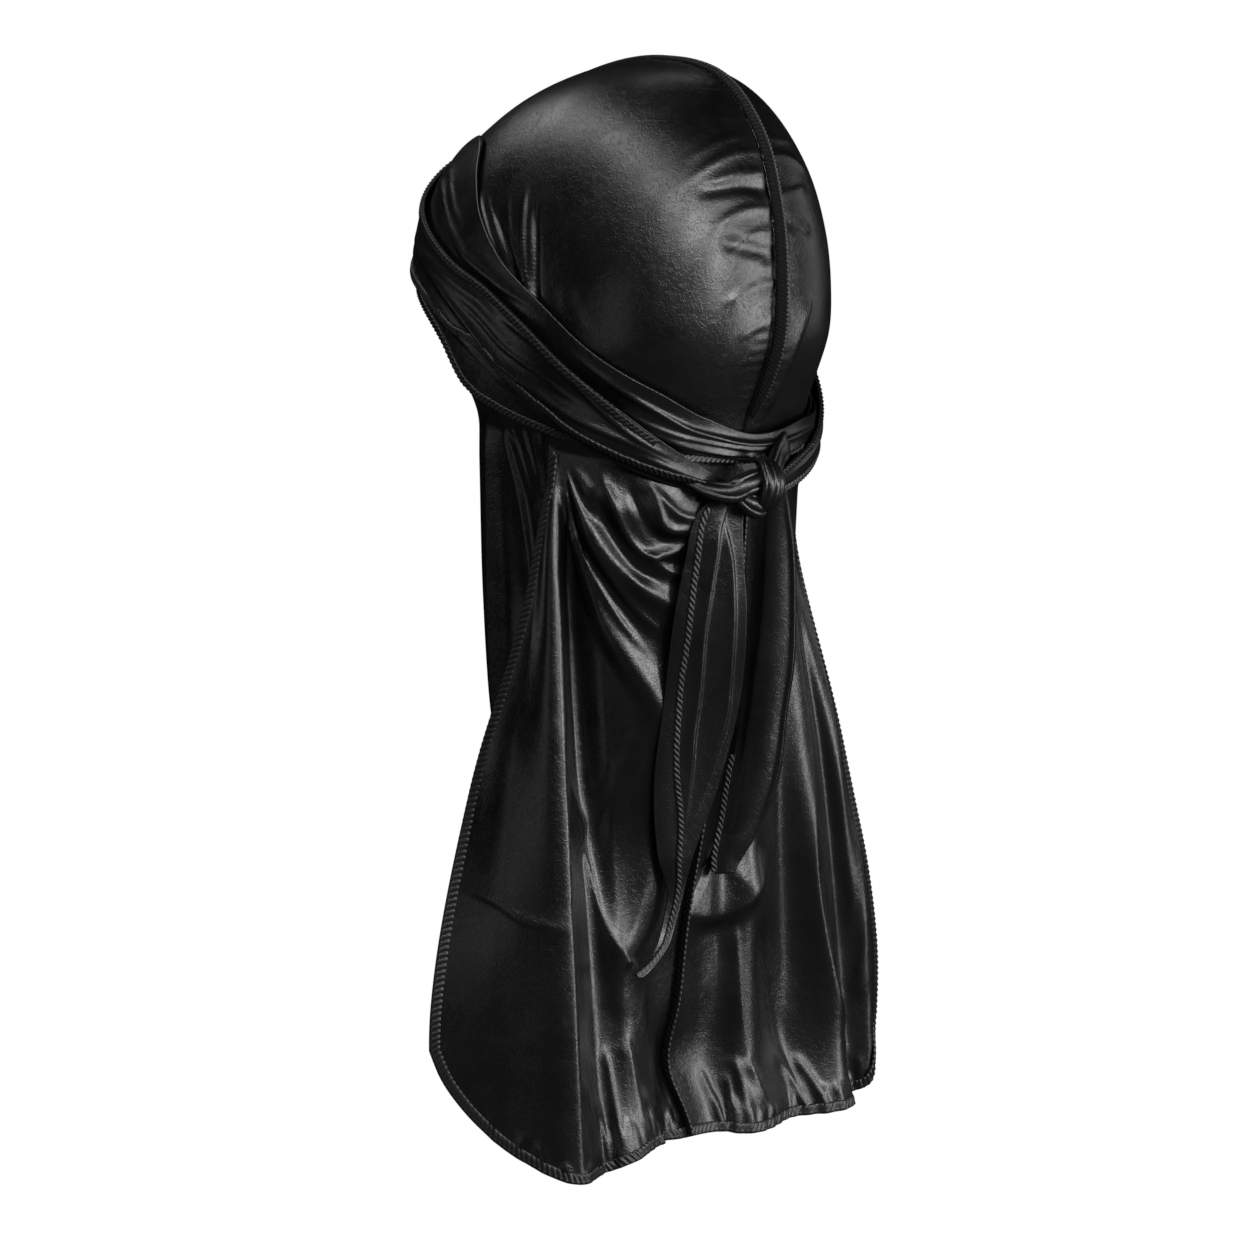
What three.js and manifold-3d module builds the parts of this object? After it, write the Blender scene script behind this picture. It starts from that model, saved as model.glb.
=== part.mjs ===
// A satin head wrap, worn: two crown panels joined by a standing centre seam, two straps wound round
// the head and knotted at the nape, the strap ends, and a long cape hanging below the knot.
// Millimetres, +Z up, the face towards -Y, the wearer's left towards +X, the origin under the crown's top.
import * as THREE from "three";
import { mergeVertices } from "three/addons/utils/BufferGeometryUtils.js";
import Module from "manifold-3d";

const wasm = await Module();
wasm.setup();

// Driving dimensions
const CLOTH = 1.2; // wall of a satin panel, with the air between its creases
const GAP = 0.35; // clearance between pieces that lie against each other
const REACH = { least: 10, most: 160, within: 1e-6 }; // search for the head's surface, from its axis
const EAR = { x: 78, y: -4, z: -116 }; // where the crown's meridians meet, at the ears
const FRONT_RIM = 14; // angle of the crown's front edge about the ear axis, in degrees
const NAPE_RIM = 213; // angle of the crown's back edge
const CAPE_RIM = 214.5; // angle at which the cape's top edge meets it from below
const EAR_CUT = 84; // how far from the seam a crown panel reaches, in degrees of 90
const CAPE_CUT = 62; // how far from the seam the cape's top edge is sewn to the crown
const FIN_WALL = 1.5; // the seam allowance that stands along the middle of the crown
const FIN_LEAN = 0.25; // how far it leans to the right for each millimetre of its height
const SEAM_GAP = 0.9; // between the cape's panels, under their seam
const SEAM_RIDGE = 3; // how far the cape's centre seam stands out
const SEAM_DROP = 6; // how far below the collar that seam comes into view
const HEM_CROWDING = 1.3; // over 1 sets the cape's rows of cells closer together near its top
const PLEAT_FADE = 12; // over how much of a turn a strap's pleat comes and goes, in degrees
const GATHER_FADE = 5; // the same for a gather on the crown
const STRAP_SHADOW = 9; // how far below a strap the cape comes out to its hanging shape
const KNOT = { x: 6, y: 81, z: -178 };

// The head's outline in the middle plane: distance from the ear axis at each angle, the face at 0,
// straight up at 90, the back of the head at 180. Fullness 2 is an ellipse from seam to ear.
const OUTLINE = [
  { at: -60, radius: 90, fullness: 2.4 },
  { at: -20, radius: 94, fullness: 2.4 },
  { at: 0, radius: 91, fullness: 2.4 },
  { at: 20, radius: 96.5, fullness: 2.4 },
  { at: 40, radius: 108, fullness: 2.3 },
  { at: 60, radius: 110.5, fullness: 2.1 },
  { at: 80, radius: 113, fullness: 2.0 },
  { at: 100, radius: 118.5, fullness: 2.0 },
  { at: 116, radius: 122, fullness: 2.0 },
  { at: 132, radius: 115, fullness: 2.08 },
  { at: 148, radius: 102.5, fullness: 2.25 },
  { at: 164, radius: 93, fullness: 2.35 },
  { at: 180, radius: 87.5, fullness: 2.4 },
  { at: 196, radius: 82, fullness: 2.4 },
  { at: 210, radius: 82, fullness: 2.4 },
  { at: 225, radius: 94, fullness: 2.4 },
  { at: 260, radius: 110, fullness: 2.4 },
];

// The crown's standing seam: its height along the middle, by the same angle.
const CROWN_SEAM = [
  { at: 24, height: 0.8 },
  { at: 70, height: 1 },
  { at: 92, height: 1 },
  { at: 110, height: 2.8 },
  { at: 124, height: 5.8 },
  { at: 180, height: 7.5 },
  { at: 196, height: 6 },
  { at: 205, height: 3 },
];

// Gathers on the crown: each runs along a meridian, between two distances from the seam.
const CROWN_GATHERS = [
  { side: 1, angle: 42, from: 50, to: 76, height: 1.6, width: 4 },
  { side: 1, angle: 66, from: 52, to: 78, height: 1.8, width: 4 },
  { side: 1, angle: 86, from: 50, to: 78, height: 2, width: 5 },
  { side: -1, angle: 48, from: 52, to: 76, height: 1.6, width: 5 },
  { side: -1, angle: 74, from: 50, to: 78, height: 2, width: 5 },
  { side: -1, angle: 190, from: 6, to: 60, height: 1.6, width: 7 },
  { side: 1, angle: 141, from: 3, to: 24, height: 1.4, width: 5 },
  { side: 1, angle: 153, from: 3, to: 20, height: 1.2, width: 4 },
  { side: -1, angle: 146, from: 3, to: 22, height: 1.2, width: 5 },
];

// Each strap runs from the nape, forward round one side, over the forehead and back round the other
// side to the knot: turn in degrees round the head, its two edges, and its height over the head. The
// left strap goes forward on the right, 180 to 360, and comes back on the left, 360 to 540.
const STRAP_LEFT = [
  { at: 156, top: -156, bottom: -166, lift: 1.1 },
  { at: 180, top: -158, bottom: -167, lift: 1.1 },
  { at: 205, top: -157, bottom: -167, lift: 1.1 },
  { at: 225, top: -155, bottom: -166, lift: 1.1 },
  { at: 245, top: -142, bottom: -162, lift: 1.1 },
  { at: 262, top: -116, bottom: -152, lift: 1.1 },
  { at: 280, top: -84, bottom: -136, lift: 1.1 },
  { at: 300, top: -54, bottom: -116, lift: 1.1 },
  { at: 318, top: -38, bottom: -98, lift: 1.1 },
  { at: 338, top: -34, bottom: -78, lift: 1.1 },
  { at: 350, top: -35, bottom: -66.5, lift: 1.6 },
  { at: 359, top: -36, bottom: -65.5, lift: 2.8 },
  { at: 367, top: -39, bottom: -66.5, lift: 3.8 },
  { at: 378, top: -46, bottom: -76, lift: 4.0 },
  { at: 392, top: -57, bottom: -88, lift: 4.0 },
  { at: 405, top: -66, bottom: -95, lift: 4.0 },
  { at: 419, top: -76, bottom: -103, lift: 4.1 },
  { at: 433, top: -86, bottom: -116, lift: 4.2 },
  { at: 447, top: -94, bottom: -128, lift: 4.2 },
  { at: 457, top: -102, bottom: -138, lift: 4.2 },
  { at: 468, top: -112, bottom: -149, lift: 5.2 },
  { at: 480, top: -127, bottom: -160, lift: 6.4 },
  { at: 492, top: -142, bottom: -168, lift: 7.4 },
  { at: 505, top: -157, bottom: -176, lift: 7.6 },
  { at: 518, top: -169, bottom: -182, lift: 7.8 },
  { at: 529, top: -177, bottom: -187, lift: 8.0 },
];
// The right strap is wound the other way: its turn is counted round the right side.
const STRAP_RIGHT = [
  { at: 118, top: -147, bottom: -163, lift: 2.8 },
  { at: 135, top: -152, bottom: -166, lift: 2.9 },
  { at: 155, top: -153.5, bottom: -168, lift: 2.9 },
  { at: 180, top: -156.5, bottom: -169.5, lift: 2.9 },
  { at: 202, top: -147, bottom: -168, lift: 2.9 },
  { at: 215, top: -137, bottom: -166, lift: 2.6 },
  { at: 225, top: -129, bottom: -164, lift: 1.9 },
  { at: 235, top: -119, bottom: -161, lift: 1.2 },
  { at: 251, top: -100, bottom: -155, lift: 1.1 },
  { at: 270, top: -82, bottom: -147, lift: 1.1 },
  { at: 285, top: -64, bottom: -138, lift: 1.1 },
  { at: 295, top: -50, bottom: -121, lift: 1.1 },
  { at: 308, top: -36, bottom: -108, lift: 1.1 },
  { at: 322, top: -34, bottom: -100, lift: 1.1 },
  { at: 338, top: -50, bottom: -97, lift: 1.1 },
  { at: 350, top: -67, bottom: -96.5, lift: 1.2 },
  { at: 360, top: -69, bottom: -96.5, lift: 2.4 },
  { at: 369, top: -69.5, bottom: -97, lift: 3.8 },
  { at: 378, top: -68, bottom: -98, lift: 4.0 },
  { at: 392, top: -66, bottom: -100, lift: 4.0 },
  { at: 405, top: -68, bottom: -102, lift: 4.0 },
  { at: 419, top: -76, bottom: -107, lift: 4.1 },
  { at: 433, top: -86, bottom: -116, lift: 4.2 },
  { at: 447, top: -97, bottom: -128, lift: 4.2 },
  { at: 460, top: -112, bottom: -142, lift: 4.2 },
  { at: 475, top: -134, bottom: -159, lift: 4.8 },
  { at: 490, top: -152, bottom: -170, lift: 5.2 },
  { at: 505, top: -163, bottom: -178, lift: 5.6 },
  { at: 518, top: -170, bottom: -183, lift: 6.4 },
  { at: 529, top: -176, bottom: -186, lift: 7.2 },
];
// Pleats along a strap: how far across its width, how high, how wide, and over which turn.
const STRAP_PLEATS = [
  { across: 0.2, height: 0.8, width: 0.07, from: 262, to: 330 },
  { across: 0.45, height: 0.7, width: 0.09, from: 262, to: 330 },
  { across: 0.72, height: 0.7, width: 0.08, from: 262, to: 330 },
  { across: 0.4, height: 1.4, width: 0.12, from: 390, to: 525 },
  { across: 0.7, height: 1.2, width: 0.1, from: 385, to: 500 },
];

// The cape's folds, seen from above. A row is one fold line, at its share of the panel's width; x and y
// give its place at the collar and at four heights below it.
const CAPE_HEIGHTS = [-178, -230, -310, -400, -476];
const CAPE_LEFT = [
  { fold: "free edge", at: 0, x: [73, 84, 102.5, 128, 125], y: [23, 19, 4, 7, 8] },
  { fold: "soft fold", at: 0.13, x: [73.5, 83, 96.5, 108, 107], y: [25, 25.5, 22.5, 27, 29] },
  { fold: "sharp ridge", at: 0.28, x: [73.5, 80, 82.5, 83.5, 83], y: [27, 34, 40, 47, 52] },
  { fold: "valley", at: 0.36, x: [70, 64.5, 62.5, 62.5, 61], y: [31, 25, 29, 37, 44] },
  { fold: "broad back", at: 0.52, x: [62, 56.5, 51.5, 48, 47.5], y: [42, 37, 39.5, 42.5, 48.5] },
  { fold: "inner back", at: 0.74, x: [38, 33.5, 32, 28.5, 25], y: [61, 49, 44, 37, 40] },
  { fold: "centre seam", at: 1, x: [3, 3, 4, 6, 5], y: [69, 64, 48, 32, 40] },
];
const CAPE_RIGHT = [
  { fold: "centre seam", at: 0, x: [3, 3, 4, 6, 5], y: [69, 64, 48, 32, 40] },
  { fold: "valley", at: 0.13, x: [-8, -6, -12, -16, -18], y: [68.5, 60, 43, 26, 33] },
  { fold: "round ridge", at: 0.3, x: [-22, -23, -30, -33, -34], y: [65, 57, 47, 40, 41] },
  { fold: "valley", at: 0.48, x: [-40, -44, -50, -63, -64], y: [57, 46, 38, 28, 30] },
  { fold: "ridge", at: 0.64, x: [-54, -58, -66, -84, -92], y: [47, 41, 40, 40, 42] },
  { fold: "valley", at: 0.78, x: [-62, -64, -84, -100, -108], y: [38, 34, 31, 28, 28] },
  { fold: "outer ridge", at: 0.88, x: [-67, -70, -92, -114, -118], y: [31, 31, 33, 33, 33] },
  { fold: "free edge", at: 1, x: [-70, -77, -101, -125, -123], y: [24, 26, 31, 29, 28] },
];
// At shares of each panel's width: the hem's height, and the lower edge of the straps over the panel.
const EDGES_LEFT = [
  { at: 0, hem: -419, strap: -160 },
  { at: 0.05, hem: -437, strap: -160.5 },
  { at: 0.12, hem: -457, strap: -161.5 },
  { at: 0.26, hem: -475, strap: -162.5 },
  { at: 0.38, hem: -475, strap: -164 },
  { at: 0.6, hem: -469, strap: -167 },
  { at: 1, hem: -470, strap: -171 },
];
const EDGES_RIGHT = [
  { at: 0, hem: -470, strap: -171 },
  { at: 0.3, hem: -473, strap: -171 },
  { at: 0.64, hem: -472, strap: -169 },
  { at: 0.84, hem: -469, strap: -166 },
  { at: 0.93, hem: -459, strap: -165 },
  { at: 1, hem: -435, strap: -164 },
];
// Swags hang from the near ridge to the knot, each with its own sag; they start above the collar, are
// lowest past the middle, and lean out to the left and the back.
const SWAG_SPAN = { start: 0.3, rise: 18, skew: 0.62, steepest: 0.3, from: 0.1, to: 0.85 };
const SWAG_LEAN = { x: 0.6, y: 0.8 };
const SWAGS = [
  { sag: 22, height: 2.2, width: 7 },
  { sag: 44, height: 2.6, width: 8 },
  { sag: 74, height: 2.6, width: 10 },
];

// The side of each panel falls free inside the cape's edge, between the ear and the nape.
const FALL_HEIGHTS = [-158, -172, -230, -300, -335];
// Where it is sewn: the turn round the head and the height of its front and back corners.
const FALL_TOP = { turn: [71, 113], z: [-128, -143] };
const SIDE_FALL = [
  { fold: "front fold", at: 0, x: [66, 66, 66, 66, 64], y: [-28, -28, -25.5, -17, -10] },
  { fold: "ridge", at: 0.35, x: [70, 70, 69, 67, 66], y: [-14, -13, -9, -9, -6] },
  { fold: "valley", at: 0.6, x: [66, 65, 64, 63, 63], y: [0, 0, 2, -2, -2] },
  { fold: "back edge", at: 1, x: [65, 63, 61, 60, 60], y: [23, 22, 20, 10, 6] },
];

// Strap ends below the knot. A row is a height, with the middle of the ribbon, its width, the way it
// faces in plan, and how deep its lengthwise folds stand.
const TIE_LEFT = [
  { at: 189, x: 15.5, y: 71, width: 14, turn: 34, fold: 1.5 },
  { at: 210, x: 17.8, y: 70, width: 20, turn: 32, fold: 2.5 },
  { at: 236, x: 18.2, y: 68, width: 28, turn: 28, fold: 3 },
  { at: 272, x: 18.6, y: 63, width: 32, turn: 20, fold: 3 },
  { at: 308, x: 22.3, y: 58, width: 32, turn: 14, fold: 3 },
  { at: 339, x: 23.3, y: 53, width: 20, turn: 12, fold: 2.5 },
  { at: 356, x: 24, y: 49, width: 13, turn: 12, fold: 2 },
  { at: 371, x: 29, y: 49, width: 15, turn: 12, fold: 1.5 },
  { at: 386, x: 42, y: 51.5, width: 8, turn: 20, fold: 0.5 },
];
const TIE_RIGHT = [
  { at: 181.5, x: -8.8, y: 77.5, width: 12, turn: 4, fold: 1.2 },
  { at: 203, x: -17.6, y: 73, width: 22, turn: 0, fold: 3 },
  { at: 227, x: -20.6, y: 69, width: 29, turn: -4, fold: 3 },
  { at: 258, x: -20.2, y: 65, width: 27, turn: -4, fold: 3 },
  { at: 281, x: -21, y: 62, width: 28, turn: 0, fold: 3 },
  { at: 308, x: -17.4, y: 58, width: 31, turn: 4, fold: 3 },
  { at: 330, x: -14.9, y: 54, width: 26, turn: 8, fold: 2.5 },
  { at: 346, x: -9.2, y: 50, width: 18, turn: 10, fold: 2 },
];
// Lengthwise folds of a strap end: share of its width, and how far out, in fold depths.
const TIE_SECTION = [
  { at: 0, out: -0.4 },
  { at: 0.3, out: 0.6 },
  { at: 0.46, out: 1 },
  { at: 0.66, out: -0.5 },
  { at: 1, out: 0.7 },
];

// Lumps of the knot: middle, half sizes, and tilt in the plane seen from behind, in degrees.
const LUMP_SIDES = 12;
const LUMP_RINGS = 8;
const KNOT_LUMPS = [
  { x: 10, y: -1.5, z: 3, a: 14, b: 6, c: 5.5, tilt: -10 },
  { x: -2, y: 0, z: 0, a: 6.5, b: 8, c: 11, tilt: 14 },
  { x: -9, y: -1, z: 3, a: 9, b: 5.5, c: 5.5, tilt: 24 },
  { x: 3, y: -1.5, z: -7, a: 7, b: 5.5, c: 5, tilt: 0 },
];

// Smooth curve through four values, at t between the middle two.
function hermite(before, from, to, after, gapBefore, gap, gapAfter, t) {
  const slopeFrom = ((to - before) / (gapBefore + gap)) * gap;
  const slopeTo = ((after - from) / (gap + gapAfter)) * gap;
  const squared = t * t;
  const cubed = squared * t;
  return (
    (2 * cubed - 3 * squared + 1) * from +
    (cubed - 2 * squared + t) * slopeFrom +
    (3 * squared - 2 * cubed) * to +
    (cubed - squared) * slopeTo
  );
}

// Value at x of a smooth curve through known places and values.
function through(places, values, x) {
  const last = places.length - 1;
  let i = 0;
  while (i < last - 1 && x > places[i + 1]) i++;
  const before = Math.max(i - 1, 0);
  const after = Math.min(i + 2, last);
  const gap = places[i + 1] - places[i];
  const t = THREE.MathUtils.clamp((x - places[i]) / gap, 0, 1);
  const gapBefore = places[i] - places[before];
  const gapAfter = places[after] - places[i + 1];
  return hermite(
    values[before], values[i], values[i + 1], values[after], gapBefore, gap, gapAfter, t,
  );
}

const column = (rows, key, x) => through(rows.map((row) => row.at), rows.map((row) => row[key]), x);
const radians = THREE.MathUtils.degToRad;
const bump = (distance, width) => Math.exp(-((distance / width) ** 2));
const fade = (x, from, to, soft) =>
  THREE.MathUtils.smoothstep(x, from - soft, from + soft) *
  (1 - THREE.MathUtils.smoothstep(x, to - soft, to + soft));

// A point of the head: angle about the ear axis, then degrees from the middle plane towards the ear.
function headPoint(angle, side, fromSeam, lift) {
  const power = 2 / column(OUTLINE, "fullness", angle);
  const near = Math.cos(radians(fromSeam)) ** power;
  const out = Math.sin(radians(fromSeam)) ** power;
  const reach = (column(OUTLINE, "radius", angle) + lift) * near;
  return new THREE.Vector3(
    side * (EAR.x + lift) * out,
    EAR.y - reach * Math.cos(radians(angle)),
    EAR.z + reach * Math.sin(radians(angle)),
  );
}

// A point of the head at a turn round it from the forehead and a height, lifted off its surface.
function headAt(turn, z, lift) {
  const sin = Math.sin(radians(turn));
  const cos = Math.cos(radians(turn));
  let low = REACH.least;
  let high = REACH.most;
  while (high - low > REACH.within) {
    const reach = (low + high) / 2;
    let angle = THREE.MathUtils.radToDeg(Math.atan2(z - EAR.z, reach * cos));
    if (angle < OUTLINE[0].at) angle += 360;
    const power = column(OUTLINE, "fullness", angle);
    const sideways = Math.abs(reach * sin) / (EAR.x + lift);
    const inPlane = Math.hypot(reach * cos, z - EAR.z) / (column(OUTLINE, "radius", angle) + lift);
    if (sideways ** power + inPlane ** power < 1) low = reach;
    else high = reach;
  }
  return new THREE.Vector3(low * sin, EAR.y - low * cos, z);
}

// A closed wall of cloth: a flat box of cells, each of its corners carried to the surface and pushed
// half the wall to its own side.
function wall(cells, thickness, surface) {
  const box = new THREE.BoxGeometry(1, 1, 1, cells.u, cells.v, 1);
  box.deleteAttribute("normal");
  box.deleteAttribute("uv");
  const geometry = mergeVertices(box, 1e-5);
  const place = geometry.getAttribute("position");
  const step = 2e-3; // apart in u and v, to find which way the surface faces
  for (let i = 0; i < place.count; i++) {
    const u = place.getX(i) + 0.5;
    const v = place.getY(i) + 0.5;
    const [u0, u1] = [Math.max(u - step, 0), Math.min(u + step, 1)];
    const [v0, v1] = [Math.max(v - step, 0), Math.min(v + step, 1)];
    const along = surface(u1, v).sub(surface(u0, v));
    const across = surface(u, v1).sub(surface(u, v0));
    const normal = along.cross(across).normalize();
    const point = surface(u, v).addScaledVector(normal, place.getZ(i) * thickness);
    place.setXYZ(i, point.x, point.y, point.z);
  }
  return geometry;
}

// Materials
const satin = new THREE.MeshStandardMaterial({ color: 0x0b0b0c, roughness: 0.38, metalness: 0 });
const seamThread = new THREE.MeshStandardMaterial({ color: 0x08080a, roughness: 0.75, metalness: 0 });

const model = new THREE.Group();
function add(name, geometry, material) {
  const mesh = new THREE.Mesh(geometry, material);
  mesh.name = name;
  model.add(mesh);
}

// Crown panels: each runs from the centre seam down to the ear, with gathers drawn in by the straps.
function crownPanel(side) {
  const gathers = CROWN_GATHERS.filter((row) => row.side === side);
  const surface = (u, v) => {
    const angle = THREE.MathUtils.lerp(FRONT_RIM, NAPE_RIM, side > 0 ? 1 - u : u);
    const fromSeam = EAR_CUT * v;
    let lift = -CLOTH / 2;
    for (const row of gathers) {
      const along = fade(fromSeam, row.from, row.to, GATHER_FADE);
      lift -= row.height * bump(angle - row.angle, row.width) * along;
    }
    const point = headPoint(angle, side, fromSeam, lift);
    point.x += (side * GAP) / 2;
    return point;
  };
  return wall({ u: 28, v: 10 }, CLOTH, surface);
}
add("crown_left", crownPanel(1), satin);
add("crown_right", crownPanel(-1), satin);

// Crown seam: the serged allowance stands up along the middle from the front to the nape.
function crownSeam() {
  const surface = (u, v) => {
    const angle = THREE.MathUtils.lerp(CROWN_SEAM[0].at, CROWN_SEAM[CROWN_SEAM.length - 1].at, u);
    const height = column(CROWN_SEAM, "height", angle);
    const point = headPoint(angle, 1, 0, 2 * GAP + height * v);
    point.x = -FIN_LEAN * height * v;
    return point;
  };
  return wall({ u: 34, v: 1 }, FIN_WALL, surface);
}
add("crown_seam", crownSeam(), seamThread);

// Straps: each is one ribbon from the nape round the head to the knot, pleated lengthwise.
function strap(side, rows, cells) {
  const from = rows[0].at;
  const to = rows[rows.length - 1].at;
  const surface = (u, v) => {
    const turn = THREE.MathUtils.lerp(from, to, side > 0 ? 1 - u : u);
    const z = THREE.MathUtils.lerp(column(rows, "top", turn), column(rows, "bottom", turn), v);
    let lift = column(rows, "lift", turn) + CLOTH / 2;
    for (const row of STRAP_PLEATS)
      lift += row.height * bump(v - row.across, row.width) * fade(turn, row.from, row.to, PLEAT_FADE);
    const point = headAt(turn, z, lift);
    point.x *= side;
    return point;
  };
  return wall(cells, CLOTH, surface);
}
add("strap_left", strap(1, STRAP_LEFT, { u: 42, v: 7 }), satin);
add("strap_right", strap(-1, STRAP_RIGHT, { u: 44, v: 7 }), satin);

// A hanging sheet through its fold lines: at a share of its width and a height, a place in plan.
function drape(rows, heights, u, z) {
  const places = rows.map((row) => row.at);
  const downwards = heights.map((height) => -height);
  const plan = (key) => {
    const values = heights.map((height, i) => through(places, rows.map((row) => row[key][i]), u));
    return through(downwards, values, -z);
  };
  return new THREE.Vector3(plan("x"), plan("y"), z);
}

// Cape panels: sewn to the crown's back edge under the straps, then hanging in their folds to the hem.
function capePanel(side, rows, edges, cells) {
  const collar = CAPE_HEIGHTS[0];
  const surface = (u, v) => {
    const toSeam = side > 0 ? 1 - u : u;
    const rim = headPoint(CAPE_RIM, side, CAPE_CUT * toSeam, -CLOTH / 2);
    const z = THREE.MathUtils.lerp(rim.z, column(edges, "hem", u), v ** HEM_CROWDING);
    const point = drape(rows, CAPE_HEIGHTS, u, Math.min(z, collar));
    if (side > 0) {
      const along = THREE.MathUtils.clamp((u - SWAG_SPAN.start) / (1 - SWAG_SPAN.start), 0, 1);
      const hang = Math.max(4 * along * (1 - along * SWAG_SPAN.skew), SWAG_SPAN.steepest);
      const level = (collar + SWAG_SPAN.rise - z) / hang;
      const shown = fade(along, SWAG_SPAN.from, SWAG_SPAN.to, SWAG_SPAN.from);
      for (const row of SWAGS) {
        const height = row.height * bump(level - row.sag, row.width) * shown;
        point.x += height * SWAG_LEAN.x;
        point.y += height * SWAG_LEAN.y;
      }
    }
    const turn = THREE.MathUtils.radToDeg(Math.atan2(rim.x, EAR.y - rim.y));
    const strapEdge = column(edges, "strap", u);
    const underStrap = headAt(turn, Math.max(z, strapEdge), -CLOTH / 2);
    point.lerp(underStrap, THREE.MathUtils.smoothstep(z, strapEdge - STRAP_SHADOW, strapEdge));
    point.x += (side * SEAM_GAP) / 2;
    point.z = z;
    return point;
  };
  return wall(cells, CLOTH, surface);
}
add("cape_left", capePanel(1, CAPE_LEFT, EDGES_LEFT, { u: 25, v: 19 }), satin);
add("cape_right", capePanel(-1, CAPE_RIGHT, EDGES_RIGHT, { u: 22, v: 16 }), satin);

// Cape seam: the panels' joined edges stand outwards as a ridge from under the knot to the hem.
function capeSeam() {
  const top = CAPE_HEIGHTS[0] - SEAM_DROP;
  const hem = EDGES_RIGHT[0].hem;
  const surface = (u, v) => {
    const z = THREE.MathUtils.lerp(top, hem, v);
    const point = drape(CAPE_RIGHT, CAPE_HEIGHTS, 0, z);
    point.y += CLOTH + GAP + SEAM_RIDGE * u;
    return point;
  };
  return wall({ u: 1, v: 24 }, CLOTH, surface);
}
add("cape_seam", capeSeam(), seamThread);

// Side falls: one each side, sewn to the head's shape under the straps and then hanging in folds.
function sideFall(side) {
  const lowest = FALL_HEIGHTS[FALL_HEIGHTS.length - 1];
  const surface = (u, v) => {
    const share = side > 0 ? u : 1 - u;
    const top = THREE.MathUtils.lerp(FALL_TOP.z[0], FALL_TOP.z[1], share);
    const z = THREE.MathUtils.lerp(top, lowest, v);
    const point = drape(SIDE_FALL, FALL_HEIGHTS, share, Math.min(z, FALL_HEIGHTS[0]));
    const turn = THREE.MathUtils.lerp(FALL_TOP.turn[0], FALL_TOP.turn[1], share);
    const sewn = headAt(turn, Math.max(z, FALL_HEIGHTS[0]), -CLOTH / 2);
    point.lerp(sewn, THREE.MathUtils.smoothstep(z, FALL_HEIGHTS[0], top));
    point.x *= side;
    point.z = z;
    return point;
  };
  return wall({ u: 8, v: 9 }, CLOTH, surface);
}
add("side_fall_left", sideFall(1), satin);
add("side_fall_right", sideFall(-1), satin);

// Strap ends: two ribbons hanging from the knot over the cape, folded lengthwise.
function tieEnd(rows, cells) {
  const surface = (u, v) => {
    const at = THREE.MathUtils.lerp(rows[0].at, rows[rows.length - 1].at, v);
    const width = column(rows, "width", at);
    const turn = radians(column(rows, "turn", at));
    const across = (u - 0.5) * width;
    const out = column(rows, "fold", at) * column(TIE_SECTION, "out", u);
    return new THREE.Vector3(
      column(rows, "x", at) - across * Math.cos(turn) + out * Math.sin(turn),
      column(rows, "y", at) + across * Math.sin(turn) + out * Math.cos(turn),
      -at,
    );
  };
  return wall(cells, CLOTH, surface);
}
add("tie_end_left", tieEnd(TIE_LEFT, { u: 8, v: 14 }), satin);
add("tie_end_right", tieEnd(TIE_RIGHT, { u: 8, v: 11 }), satin);

// Knot: lumps of the crossed straps, joined into one.
function solid(geometry) {
  geometry.deleteAttribute("normal");
  geometry.deleteAttribute("uv");
  const merged = mergeVertices(geometry, 1e-4);
  const vertProperties = new Float32Array(merged.getAttribute("position").array);
  const triVerts = new Uint32Array(merged.index.array);
  return new wasm.Manifold(new wasm.Mesh({ numProp: 3, vertProperties, triVerts }));
}
function knot() {
  let joined = null;
  for (const lump of KNOT_LUMPS) {
    const sphere = new THREE.SphereGeometry(1, LUMP_SIDES, LUMP_RINGS);
    sphere.rotateX(Math.PI / 2);
    sphere.scale(lump.a, lump.b, lump.c);
    sphere.rotateY(radians(lump.tilt));
    sphere.translate(KNOT.x + lump.x, KNOT.y + lump.y, KNOT.z + lump.z);
    joined = joined ? joined.add(solid(sphere)) : solid(sphere);
  }
  const mesh = joined.getMesh();
  const geometry = new THREE.BufferGeometry();
  geometry.setAttribute("position", new THREE.BufferAttribute(mesh.vertProperties, 3));
  geometry.setIndex(new THREE.BufferAttribute(mesh.triVerts, 1));
  return geometry;
}
add("knot", knot(), satin);

export default model;
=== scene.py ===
"""A black satin head wrap as it is worn: crown, wound straps, nape knot, strap ends and long cape.

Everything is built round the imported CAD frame. Tables and shapes are in millimetres, in the frame of
the CAD source, and become metres when a mesh is made.
"""

import math

import bpy
import numpy as np
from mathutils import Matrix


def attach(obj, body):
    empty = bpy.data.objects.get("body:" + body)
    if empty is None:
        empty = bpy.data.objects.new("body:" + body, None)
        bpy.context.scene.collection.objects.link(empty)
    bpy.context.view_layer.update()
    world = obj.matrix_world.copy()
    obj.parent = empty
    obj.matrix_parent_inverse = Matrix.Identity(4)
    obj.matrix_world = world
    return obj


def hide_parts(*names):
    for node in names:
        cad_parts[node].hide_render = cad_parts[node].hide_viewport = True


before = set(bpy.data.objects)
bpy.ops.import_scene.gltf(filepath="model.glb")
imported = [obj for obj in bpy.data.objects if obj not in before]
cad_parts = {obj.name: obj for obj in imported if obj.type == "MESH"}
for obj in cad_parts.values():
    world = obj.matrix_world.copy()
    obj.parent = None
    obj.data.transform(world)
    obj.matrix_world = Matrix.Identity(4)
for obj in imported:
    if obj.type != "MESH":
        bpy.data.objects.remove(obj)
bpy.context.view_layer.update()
bpy.ops.object.select_all(action="DESELECT")

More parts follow.
